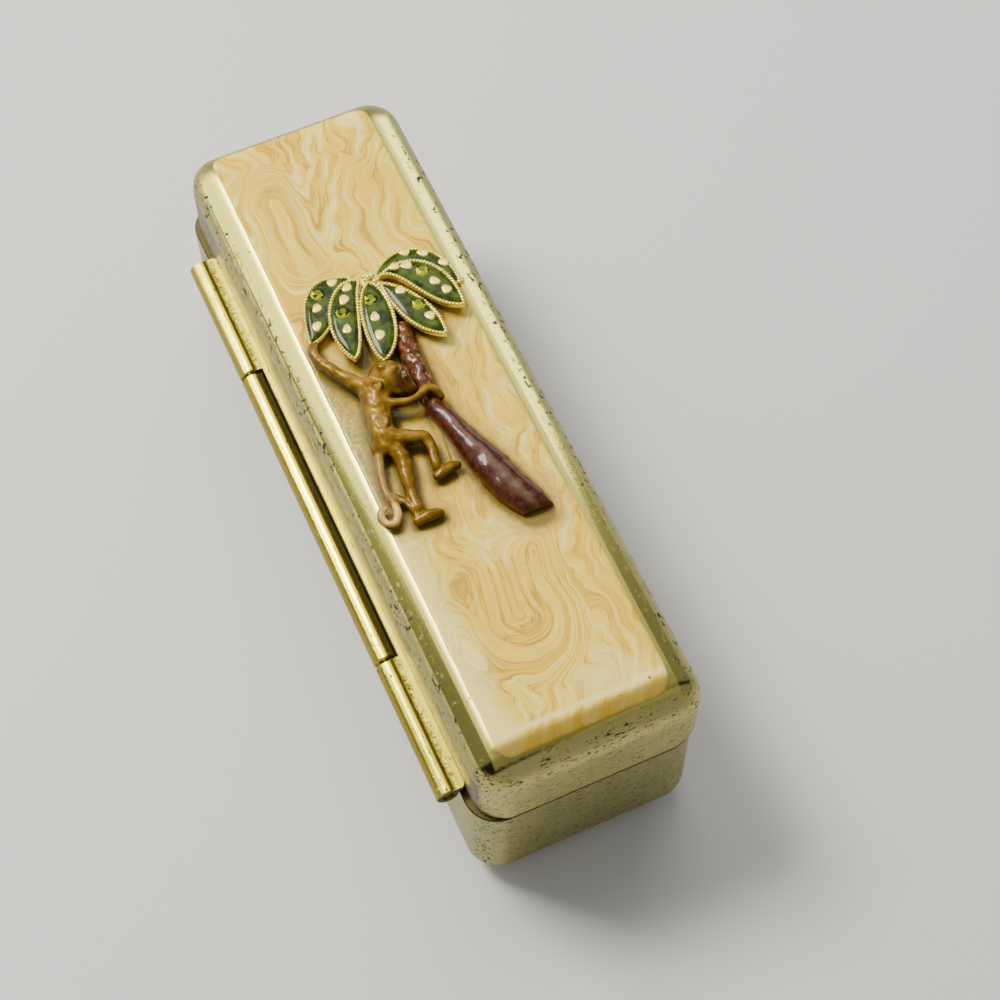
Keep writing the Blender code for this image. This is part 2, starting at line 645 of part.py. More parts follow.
def make_lid_shell():
    """The lid stands proud of the base at the front, over a chamfer that leads back to the seam."""
    bottom = SEAM_Z + 0.5 * SEAM_GAP
    chamfer_top = bottom + EDGE_BREAK + FRONT_CHAMFER_HEIGHT
    rings = [lid_ring(EDGE_BREAK, bottom, BASE_FRONT), lid_ring(0.0, bottom + EDGE_BREAK, BASE_FRONT),
             lid_ring(0.0, chamfer_top)]
    shell = part("lid_shell", loft(rings + lid_rings(0.0), "lid_shell"), "worn_gold")
    step_low, step_high = chamfer_top + CAVITY_STEP[0], chamfer_top + CAVITY_STEP[1]
    hollow = [cavity_ring(WALL, bottom - CUT_MARGIN, BASE_FRONT), cavity_ring(WALL, step_low, BASE_FRONT),
              cavity_ring(WALL, step_high), cavity_ring(WALL, LID_CAVITY_SHOULDER_Z)]
    depth = LID_CEILING_Z - LID_CAVITY_SHOULDER_Z
    for step in range(1, CAVITY_STEPS + 1):
        angle = math.radians(90 * step / CAVITY_STEPS)
        hollow.append(cavity_ring(WALL + (LID_CEILING_INSET - WALL) * (1 - math.cos(angle)),
                                  LID_CAVITY_SHOULDER_Z + depth * math.sin(angle)))
    combine(shell, tool("lid_hollow", loft(hollow, "lid_hollow")), 'DIFFERENCE')
    recess = plate(enamel_outline(FIXED_GAP), ENAMEL_FLOOR_Z, LID_TOP_Z + CUT_MARGIN, "enamel_recess")
    combine(shell, tool("enamel_recess", recess), 'DIFFERENCE')
    return shell


def enamel_outline(grow):
    low = (ENAMEL_X[0] - grow, -ENAMEL_HALF_WIDTH - grow)
    high = (ENAMEL_X[1] + grow, ENAMEL_HALF_WIDTH + grow)
    return rounded_rectangle(low, high, ENAMEL_CORNER + grow)


def make_lid_enamel():
    mesh = plate(enamel_outline(0.0), ENAMEL_FLOOR_Z + FIXED_GAP, LID_TOP_Z + CUT_MARGIN, "lid_enamel")
    enamel = part("lid_enamel", mesh, "lid_enamel")
    envelope = tool("enamel_envelope", loft(lid_rings(ENAMEL_PROUD), "enamel_envelope"))
    combine(enamel, envelope, 'INTERSECT')
    return enamel


def make_mirror():
    outline = centred_rectangle(MIRROR_HALF, MIRROR_CORNER)
    glass = part("mirror_glass", plate(outline, *MIRROR_Z, "mirror_glass"), "mirror")
    pad = part("mirror_pad", plate(outline, *PAD_Z, "mirror_pad"), "pad")
    frame_outline = centred_rectangle(MIRROR_FRAME_HALF, MIRROR_FRAME_CORNER)
    frame = part("lid_bezel", plate(frame_outline, *MIRROR_FRAME_Z, "lid_bezel"), "bright_gold")
    seat_half = (MIRROR_HALF[0] + FIXED_GAP, MIRROR_HALF[1] + FIXED_GAP)
    seat = plate(centred_rectangle(seat_half, MIRROR_CORNER), MIRROR_Z[0] - FIXED_GAP,
                 MIRROR_FRAME_Z[1] + CUT_MARGIN, "mirror_seat")
    combine(frame, tool("mirror_seat", seat), 'DIFFERENCE')
    window = plate(centred_rectangle(MIRROR_WINDOW_HALF, MIRROR_WINDOW_CORNER),
                   MIRROR_FRAME_Z[0] - CUT_MARGIN, MIRROR_FRAME_Z[1] + CUT_MARGIN, "mirror_window")
    combine(frame, tool("mirror_window", window), 'DIFFERENCE')
    return [glass, pad, frame]


def make_keeper():
    wall_y, tip_y = KEEPER_Y
    foot, tip_low, tip_high, head = KEEPER_Z
    outline = [(wall_y, foot), (tip_y, tip_low), (tip_y, tip_high), (wall_y, head)]
    mesh = lengthwise_plate(outline, -KEEPER_HALF_WIDTH, KEEPER_HALF_WIDTH, "catch_keeper")
    return part("catch_keeper", mesh, "bright_gold")


def make_catch():
    outer, inner = CATCH_BLADE_Y
    nose_start, nose_low, nose_high, nose_end = CATCH_NOSE_Z
    outline = [(outer, CATCH_BOTTOM_Z), (outer, nose_start), (CATCH_NOSE_Y, nose_low),
               (CATCH_NOSE_Y, nose_high), (outer, nose_end), (inner, nose_end), CATCH_FOLD,
               (inner, nose_start + CATCH_FOLD_RISE), (inner, CATCH_BOTTOM_Z)]
    mesh = lengthwise_plate(outline, -CATCH_HALF_WIDTH, CATCH_HALF_WIDTH, "catch_spring")
    spring = part("catch_spring", mesh, "spring_steel")
    for side in (-1, 1):
        hole = rivet_cylinder(f"spring_rivet_hole_{side + 2}", side, SPRING_RIVET_HOLE, *RIVET_HOLE_Y)
        combine(spring, hole, 'DIFFERENCE')
    return spring


def bezier(start, handles, end, fraction):
    rest = 1.0 - fraction
    first, second = handles
    return Vector([rest ** 3 * a + 3 * rest ** 2 * fraction * b + 3 * rest * fraction ** 2 * c
                   + fraction ** 3 * d for a, b, c, d in zip(start, first, second, end)])


def frond_outline(frond, inset):
    """A frond's outline drawn in by inset, from its two sides. A negative inset grows it."""
    outer, inner = [], []
    for step in range(1, FROND_STEPS):
        fraction = step / FROND_STEPS
        side_a = bezier(frond.root, frond.outer, frond.tip, fraction)
        side_b = bezier(frond.root, frond.inner, frond.tip, fraction)
        middle = 0.5 * (side_a + side_b)
        half = 0.5 * (side_a - side_b)
        if half.length > inset + FROND_LEAST_HALF:
            half = half * (1.0 - inset / half.length)
            outer.append(middle + half)
            inner.append(middle - half)
    ends = ([Vector(frond.root)], [Vector(frond.tip)]) if inset <= 0.0 else ([], [])
    return [tuple(point) for point in ends[0] + outer + ends[1] + inner[::-1]]


def frond_solid(frond, inset, low, high, name):
    return plate(frond_outline(frond, inset), low, high, name)


def make_crown():
    """One casting: six fronds with raised rims, the upper ones lying over the lower ones."""
    hub = cone(HUB, HUB_RADIUS, HUB_TAPER * HUB_RADIUS, ORNAMENT_Z, HUB_TOP_Z, SEAT_SIDES, "palm_crown")
    crown = part("palm_crown", hub, "bright_gold")
    recesses = [recess_tool(frond, number) for number, frond in enumerate(FRONDS)]
    for recess in recesses:
        combine(crown, recess, 'DIFFERENCE')
    for number, frond in enumerate(FRONDS):
        top = FROND_TOP_Z[frond.layer]
        bottom = ORNAMENT_Z + FROND_STAGGER * (number + 1)
        name = f"frond_blank_{number + 1}"
        blank = tool(name, frond_solid(frond, 0.0, bottom, top, name))
        combine(blank, recesses[number], 'DIFFERENCE')
        combine(crown, blank, 'UNION')
    for number, frond in enumerate(FRONDS):
        if frond.stone:
            combine(crown, stone_seat(frond, number), 'DIFFERENCE')
    return crown


def recess_tool(frond, number):
    top = FROND_TOP_Z[frond.layer]
    name = f"frond_recess_{number + 1}"
    return tool(name, frond_solid(frond, FROND_RIM, top - FROND_RECESS, top + CUT_MARGIN, name))


def stone_seat(frond, number):
    """The hole that a stone is set in, shared by the casting and its enamel."""
    name = f"stone_seat_{number + 1}"
    seat = bpy.data.objects.get(name)
    if seat is None:
        top = FROND_TOP_Z[frond.layer]
        radius = STONE_RADIUS + STONE_GAP
        floor = top - FROND_RECESS - STONE_SEAT_DEPTH
        seat = tool(name, cone(frond.stone, radius, radius, floor, top + CUT_MARGIN, SEAT_SIDES, name))
    return seat


def frond_cover(number):
    """Clears whatever a frond lies over or stands beside, with a gap all round it."""
    name = f"frond_cover_{number + 1}"
    low, high = ORNAMENT_Z - CUT_MARGIN, FROND_TOP_Z["upper"] + CUT_MARGIN
    return tool(name, frond_solid(FRONDS[number], -2.0 * FIXED_GAP, low, high, name))


def make_frond_enamels():
    """Enamel floated into each frond, and cut back where another frond lies over it."""
    enamels = []
    for number, frond in enumerate(FRONDS):
        top = FROND_TOP_Z[frond.layer]
        name = f"frond_enamel_{number + 1}"
        mesh = frond_solid(frond, FROND_RIM + FIXED_GAP, top - FROND_RECESS + FIXED_GAP,
                           top + FROND_ENAMEL_PROUD, name)
        enamel = part(name, mesh, "green_enamel")
        if number in COVERED_BY:
            combine(enamel, frond_cover(COVERED_BY[number]), 'DIFFERENCE')
        if frond.stone:
            combine(enamel, stone_seat(frond, number), 'DIFFERENCE')
        enamels.append(enamel)
    return enamels


def make_stones():
    stones = []
    for number, frond in enumerate(FRONDS):
        if frond.stone:
            top = FROND_TOP_Z[frond.layer]
            name = f"crystal_{number + 1}"
            mesh = cone(frond.stone, STONE_RADIUS, STONE_TABLE_RADIUS, top - FROND_RECESS + FIXED_GAP,
                        top + STONE_PROUD, STONE_SIDES, name)
            stones.append(part(name, mesh, "crystal"))
    return stones


def make_trunk():
    trunk = part("palm_trunk", relief(TRUNK, "palm_trunk"), "brown_enamel")
    for number in BESIDE_TRUNK:
        combine(trunk, frond_cover(number), 'DIFFERENCE')
    return trunk


def make_monkey():
    monkey = part("monkey", relief(TORSO, "monkey"), "amber_enamel")
    bm = bmesh.new()
    x, y = HEAD_CENTRE
    place = Matrix.Translation(Vector((x, y, ORNAMENT_Z + HEAD_RADII[2] + HEAD_FOOT)) * MM)
    place = place @ Matrix.Diagonal((*HEAD_RADII, 1.0))
    bmesh.ops.create_uvsphere(bm, u_segments=16, v_segments=10, radius=MM, matrix=place)
    combine(monkey, tool("monkey_head", mesh_from(bm, "monkey_head")), 'UNION')
    for name, stations in LIMBS.items():
        combine(monkey, tool(name, relief(stations, name)), 'UNION')
    return monkey


def main():
    clear_scene()
    make_base_shell()
    make_base_bezel()
    make_base_leaf()
    make_pin()
    make_tray()
    make_rivets()
    spring = make_catch()
    lid = [make_lid_shell(), make_lid_enamel(), make_lid_leaf(), make_keeper()]
    lid += make_mirror()
    lid += [make_crown(), make_trunk(), make_monkey()]
    lid += make_frond_enamels() + make_stones()
    pivot("lid_hinge_axis", HINGE_Y, HINGE_Z, lid)
    pivot("catch_axis", sum(CATCH_BLADE_Y) / 2, CATCH_PIVOT_Z, [spring])


main()
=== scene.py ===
import random
from collections import namedtuple
from math import acos, atan2, cos, exp, hypot, inf, pi, radians, sin

import bmesh
import bpy
from mathutils import Matrix, Vector, noise


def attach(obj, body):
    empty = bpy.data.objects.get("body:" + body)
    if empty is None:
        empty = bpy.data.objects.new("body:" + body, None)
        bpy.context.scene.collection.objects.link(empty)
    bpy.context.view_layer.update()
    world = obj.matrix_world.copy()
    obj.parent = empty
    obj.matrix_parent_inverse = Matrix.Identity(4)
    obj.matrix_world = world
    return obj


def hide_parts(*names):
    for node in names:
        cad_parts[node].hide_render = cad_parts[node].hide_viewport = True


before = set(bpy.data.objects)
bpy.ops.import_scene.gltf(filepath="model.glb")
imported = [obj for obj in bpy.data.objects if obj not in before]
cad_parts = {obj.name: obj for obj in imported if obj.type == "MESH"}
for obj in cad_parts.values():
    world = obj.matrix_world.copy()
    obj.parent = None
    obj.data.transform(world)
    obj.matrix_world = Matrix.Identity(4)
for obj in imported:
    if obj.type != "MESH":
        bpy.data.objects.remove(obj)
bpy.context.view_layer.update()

MM = 0.001

# Case, as in the CAD part
HALF_LENGTH = 41.5
HALF_WIDTH = 12.78
LID_TOP_Z = 27.12
SEAM_Z = 16.56
SEAM_GAP = 0.1
FRONT_OVERHANG = 0.5
CORNER_RADIUS = 3.5
CORNER_TIGHTENING = 0.75
LEAST_CORNER = 0.6
CASE_SPANS = (12, 60, 16)
WALL = 0.9
EDGE_BREAK = 0.12
BASE_FILLET = 4.0
BASE_FRONT = FRONT_OVERHANG - HALF_WIDTH
LID_BACK = 12.1
DOME_START_DROP = 4.0
FACET_OUTER = (1.45, 1.2)
FACET_INNER = (2.75, 0.42)
FACET_WEAR = 0.04
CROWN_INSET = 3.9
FRONT_CHAMFER_HEIGHT = 0.6
LID_CEILING_Z = 25.3
LID_CEILING_INSET = 3.3
LID_CAVITY_SHOULDER_Z = 22.5

# Enamel plate
ENAMEL_X = (-39.25, 40.0)
ENAMEL_HALF_WIDTH = 9.25
ENAMEL_CORNER = 1.6
ENAMEL_PROUD = 0.12
ENAMEL_DEPTH = 0.4
ENAMEL_BULGE = 0.35
ENAMEL_BULGE_X = (-10.0, -18.0)
ENAMEL_CELL = 0.4
HALO_X = (-19.0, 14.0)
HALO_REACH = 0.95

# Ornament, as in the CAD part
ORNAMENT_Z = LID_TOP_Z + ENAMEL_PROUD + 0.06
Frond = namedtuple("Frond", "layer root tip outer inner stone dots")
FRONDS = (
    Frond("lower", (17.3, 1.3), (11.4, 8.5), ((20.8, 6.8), (15.1, 8.0)), ((15.7, 3.1), (11.0, 5.7)),
          (16.8, 5.4), ((17.53, 3.45), (15.19, 6.14), (13.14, 6.98))),
    Frond("upper", (16.3, 0.6), (7.5, 4.9), ((19.0, 3.4), (12.3, 8.0)), ((14.8, 2.2), (7.7, 3.1)),
          (13.25, 3.9), ((15.95, 2.33), (14.67, 3.21), (11.16, 4.32))),
    Frond("upper", (15.8, -0.1), (6.1, 2.2), ((15.2, 2.7), (6.6, 3.6)), ((14.6, -2.2), (7.0, -1.4)),
          (13.6, 0.6), ((11.32, 1.04), (9.08, 1.41))),
    Frond("upper", (15.4, -1.0), (6.4, -5.2), ((11.3, -1.0), (7.6, -2.0)), ((14.2, -3.6), (9.6, -6.4)),
          (11.0, -3.8), ((13.29, -2.74), (9.13, -4.37))),
    Frond("upper", (15.7, -1.0), (9.0, -8.4), ((18.9, -5.7), (14.4, -9.7)), ((17.0, -3.9), (9.8, -4.3)),
          (14.7, -5.85), ((16.37, -3.34), (15.97, -4.59), (12.95, -6.56), (11.48, -7.31))),
    Frond("lower", (16.4, -0.9), (11.8, -9.2), ((20.9, -4.7), (17.4, -10.3)), ((15.6, -4.0), (14.0, -6.4)),
          None, ((17.93, -5.18), (17.1, -7.0), (15.1, -8.54))),
)
FROND_TOP_Z = {"lower": 28.7, "upper": 29.2}
FROND_RIM = {"lower": 0.32, "upper": 0.40}
FROND_STEPS = 40
FROND_DROOP = 0.3
BEAD_RADIUS = {"lower": 0.16, "upper": 0.2}
BEAD_SPACING = 0.37
HUB = (16.0, -0.4)
HUB_TOP_Z = 28.7
SIDE_NUB = (12.28, -9.3)
STONE_RADIUS = 0.85
STONE_TIERS = ((0.7, -0.35, 0.5), (1.0, -0.02, 0.5), (1.0, 0.06, 0.5), (0.76, 0.3, 0.0), (0.42, 0.44, 0.5))

TRUNK = (
    (10.0, -1.35, 1.1, 1.3), (7.9, -0.95, 1.3, 1.5), (5.85, -0.8, 1.3, 1.7), (3.55, -0.8, 1.2, 1.6),
    (1.8, -0.7, 1.15, 1.4), (0.45, -0.6, 1.15, 1.3), (-0.75, -0.65, 1.2, 1.45), (-2.2, -1.0, 1.3, 1.8),
    (-4.4, -1.6, 1.45, 2.0), (-6.65, -2.15, 1.75, 2.1), (-9.4, -3.0, 2.1, 2.1), (-11.85, -3.65, 2.2, 2.0),
    (-13.8, -4.4, 2.15, 1.8), (-15.3, -5.0, 1.9, 1.5), (-15.9, -5.25, 1.7, 1.2), (-16.1, -5.35, 1.55, 0.6),
)

# Monkey: chains of balls, each x, y, z above the lid, radius
TORSO = ((3.9, 4.8, 1.1, 1.35), (2.4, 4.8, 1.15, 1.7), (0.4, 5.3, 1.1, 1.6), (-1.4, 5.7, 1.15, 1.5),
         (-3.2, 5.9, 1.05, 1.35))
HEAD = ((4.55, 3.0, 1.3, 1.55), (4.1, 2.4, 1.35, 1.75), (3.3, 2.2, 1.3, 1.6), (2.7, 1.9, 1.25, 1.3))
NECK = ((3.4, 3.4, 1.2, 1.3), (3.0, 4.5, 1.2, 1.3))
MUZZLE = ((2.7, 1.45, 1.45, 1.05), (1.95, 1.1, 1.35, 0.85))
LIMBS = {
    "left_arm": ((4.3, 5.6, 1.35, 0.95), (5.6, 6.6, 1.5, 0.78), (7.2, 7.6, 1.5, 0.7),
                 (8.8, 8.35, 1.45, 0.66), (10.0, 8.6, 1.35, 0.64), (10.9, 8.3, 1.2, 0.6)),
    "right_arm": ((2.1, 4.9, 1.75, 0.95), (1.1, 4.0, 1.9, 0.66), (0.45, 2.8, 2.0, 0.56),
                  (0.2, 1.6, 2.05, 0.52), (0.5, 0.4, 2.1, 0.5), (0.85, -0.5, 2.05, 0.5),
                  (0.45, -1.2, 1.8, 0.5), (-0.25, -1.5, 1.4, 0.46)),
    "right_leg": ((-2.2, 5.7, 1.35, 1.15), (-3.0, 4.6, 1.45, 0.98), (-3.6, 3.2, 1.5, 0.84),
                  (-3.95, 2.2, 1.45, 0.74), (-4.9, 1.85, 1.3, 0.64), (-6.3, 1.95, 1.1, 0.6),
                  (-7.7, 2.15, 0.95, 0.62)),
    "right_foot": ((-8.5, 2.4, 0.75, 0.6), (-8.3, 1.6, 0.9, 0.64), (-8.15, 0.75, 0.85, 0.62),
                   (-8.1, 0.2, 0.75, 0.52)),
    "left_leg": ((-3.2, 5.6, 1.0, 1.1), (-5.2, 5.05, 1.0, 0.98), (-7.0, 5.3, 0.95, 0.86),
                 (-9.0, 5.7, 0.85, 0.72), (-11.2, 5.75, 0.75, 0.64)),
    "left_foot": ((-12.4, 6.35, 0.6, 0.6), (-12.35, 5.3, 0.75, 0.68), (-12.4, 4.5, 0.75, 0.62),
                  (-12.5, 3.95, 0.65, 0.5)),
    "tail": ((-2.9, 6.9, 0.9, 0.7), (-4.4, 7.25, 0.85, 0.54), (-6.0, 7.7, 0.8, 0.5),
             (-7.6, 8.0, 0.8, 0.47), (-8.9, 7.95, 0.85, 0.45), (-10.0, 7.75, 0.85, 0.45),
             (-11.0, 7.95, 0.85, 0.47), (-11.8, 8.6, 0.8, 0.48), (-11.55, 9.35, 0.75, 0.47),
             (-10.7, 9.65, 0.75, 0.44), (-10.0, 9.35, 0.8, 0.4), (-9.85, 8.9, 0.8, 0.36)),
    "ankle_bar": ((-8.6, 7.8, 0.75, 0.4), (-9.3, 7.15, 0.75, 0.4), (-10.0, 6.7, 0.8, 0.4),
                  (-11.1, 6.3, 0.8, 0.42), (-12.1, 6.1, 0.7, 0.45)),
}
BODY_BUMPS = ((4.75, 3.0, 2.85, 0.5), (0.9, 5.2, 2.5, 0.5))
BODY_RINGS = ((3.0, 4.5, 2.62), (-1.15, 5.5, 2.45))
FACE_BEADS = ((4.15, 1.75, 2.8, 0.32), (3.45, 0.95, 2.45, 0.3), (2.85, 1.05, 2.45, 0.34))
FACE = (2.6, 1.2)
CURL = (-10.8, 8.6)
TAIL_STRIP = ((-4.4, 7.25, 0.5), (-8.9, 7.95, 0.5))
MONKEY_VOXEL = 0.13
MONKEY_RIPPLE = 0.12

# Camera at the photograph's angle
CAMERA_PLACE = (-113.92, 42.21, 231.67)
CAMERA_AIM = (-9.72, -3.94, 20.0)
CAMERA_ROLL = radians(-0.53)
CAMERA_LENS = 81.63
CAMERA_SENSOR = 36.0

# Lights and floor, in metres
LIGHT_AIM = (0.0, 0.0, 0.02)
WORLD_LIGHT = 0.34
FLOOR_HALF_WIDTH = 4.0
FLOOR_Z = -0.0002
FLOOR_GREY = (0.7, 0.7, 0.69)


# -------------------- materials

class Value:
    """A number worked out by a material's nodes, which takes ordinary arithmetic."""

    def __init__(self, look, socket):
        self.look = look
        self.socket = socket

    def __add__(self, other):
        return self.look.math('ADD', self, other)

    def __sub__(self, other):
        return self.look.math('SUBTRACT', self, other)

    def __rsub__(self, other):
        return self.look.math('SUBTRACT', other, self)

    def __mul__(self, other):
        return self.look.math('MULTIPLY', self, other)

    __radd__ = __add__
    __rmul__ = __mul__

    def __abs__(self):
        return self.look.math('ABSOLUTE', self)

    def fade(self, low, high):
        """0 below low and 1 above high, with a soft step between them."""
        return self.look.value("MapRange", {"Value": self, "From Min": low, "From Max": high},
                               interpolation_type='SMOOTHSTEP')

    def below(self, low, high):
        """1 below low and 0 above high."""
        return 1.0 - self.fade(low, high)

    def mix(self, first, second):
        """The first number where this is 0 and the second where it is 1."""
        return self.look.value("Mix", {0: self, 2: first, 3: second})


def most(greatest, *others):
    for other in others:
        greatest = greatest.look.math('MAXIMUM', greatest, other)
    return greatest


class Look:
    """Builds one procedural material. Its coordinates are the object's own, in millimetres."""

    def __init__(self, name, colour):
        self.material = bpy.data.materials.new(name)
        self.material.use_nodes = True
        self.tree = self.material.node_tree
        self.colour = colour
        source = self.node("TexCoord").outputs["Object"]
        self.place = self.vector('MULTIPLY', source, (1.0 / MM,) * 3)
        self.x, self.y, self.z = self.parts(self.place)

    def node(self, kind, inputs=None, **settings):
        made = self.tree.nodes.new("ShaderNode" + kind)
        for key, value in settings.items():
            setattr(made, key, value)
        for key, value in (inputs or {}).items():
            self.feed(made.inputs[key], value)
        return made

    def value(self, kind, inputs=None, output=0, **settings):
        return Value(self, self.node(kind, inputs, **settings).outputs[output])

    def feed(self, socket, value):
        value = value.socket if isinstance(value, Value) else value
        if isinstance(value, bpy.types.NodeSocket):
            self.tree.links.new(value, socket)
        elif socket.type == 'RGBA' and len(value) == 3:
            socket.default_value = (*value, 1.0)
        else:
            socket.default_value = value

    def vector(self, operation, first, second):
        return self.node("VectorMath", {0: first, 1: second}, operation=operation).outputs[0]

    def stretched(self, *factors, shift=0.0):
        stretched = self.vector('MULTIPLY', self.place, factors)
        return self.vector('ADD', stretched, (shift,) * 3) if shift else stretched

    def parts(self, vector):
        return [Value(self, part) for part in self.node("SeparateXYZ", {0: vector}).outputs]

    def math(self, operation, first, second=0.0):
        return self.value("Math", {0: first, 1: second}, operation=operation)

    def attribute(self, name):
        return self.value("Attribute", output="Fac", attribute_name=name)

    def noise(self, scale, detail=2.0, roughness=0.5, vector=None):
        return self.value("TexNoise", {"Vector": vector or self.place, "Scale": scale, "Detail": detail,
                                       "Roughness": roughness})

    def warp(self, vector, scale, amount):
        """The coordinates pushed about by a noise."""
        made = self.node("TexNoise", {"Vector": vector, "Scale": scale, "Detail": 1.0})
        push = self.vector('SUBTRACT', made.outputs[1], (0.5,) * 3)
        return self.vector('ADD', vector, self.vector('MULTIPLY', push, (amount,) * 3))

    def specks(self, factors, share, radius, wriggle, seed):
        """Small marks, one to a cell, in a share of the cells. Factors are cells per millimetre."""
        place = self.warp(self.stretched(*factors, shift=seed), 2.2, wriggle)
        cells = self.node("TexVoronoi", {"Vector": place, "Scale": 1.0}).outputs
        chosen = self.value("SeparateColor", {0: cells["Color"]})
        near = Value(self, cells["Distance"]).below(0.55 * radius, radius)
        return near * (chosen + share).fade(0.98, 1.02)

    def dashes(self, factors, low, seed=0.0):
        """Short marks where a stretched noise peaks. Factors are the noise's scale along each axis."""
        return self.noise(1.0, 2.0, 0.6, self.stretched(*factors, shift=seed)).fade(low, low + 0.035)

    def arch(self, vector, centre, radii, opening):
        """Distance from a long arch that is closed at one end: opening is 1 where it opens towards +X."""
        x, y, _ = self.parts(vector)
        past = self.math('MINIMUM', (x - centre[0]) * opening, 0.0)
        side = (y - centre[1]) * (1.0 / radii[1])
        return self.math('SQRT', self.math('POWER', past * (1.0 / radii[0]), 2.0) + side * side)

    def blend(self, factor, first, second):
        return self.node("Mix", {0: factor, 6: first, 7: second}, data_type='RGBA').outputs[2]

    def tint(self, factor, colour):
        """Lays a colour over the look's own."""
        self.colour = self.blend(factor, self.colour, colour)

    def bump(self, height, depth, normal=None):
        """A normal from a height, where a height of 1 stands for depth in millimetres."""
        inputs = {"Height": height, "Distance": depth * MM, "Strength": 1.0}
        if normal:
            inputs["Normal"] = normal
        return self.node("Bump", inputs).outputs[0]

    def done(self, **inputs):
        """Feeds the shader's own sockets, named with underscores for spaces, and gives the material."""
        shader = self.tree.nodes["Principled BSDF"]
        for key, value in {"Base_Color": self.colour, **inputs}.items():
            self.feed(shader.inputs[key.replace("_", " ")], value)
        return self.material


PALE_GOLD = (0.44, 0.40, 0.145)
DULL_GOLD = (0.31, 0.28, 0.10)
LID_END_GOLD = (0.62, 0.55, 0.19)
BASE_END_GOLD = (0.42, 0.38, 0.14)
POLISHED_GOLD = (0.84, 0.76, 0.17)
# The next colour is a painted dark reflection on the polished bevel's near half.
DARK_REFLECTION_GOLD = (0.42, 0.38, 0.11)
INNER_EDGE_GOLD = (0.80, 0.70, 0.16)
# This brown colours real pits and the seam line, and is also used for painted shade on the bevel's near end
# and on the hinge.
PIT_AND_SHADE_BROWN = (0.03, 0.022, 0.010)
BARE_METAL = (0.33, 0.31, 0.29)
DARK_WALL = (0.14, 0.132, 0.095)
PALE_WALL = (0.30, 0.28, 0.205)


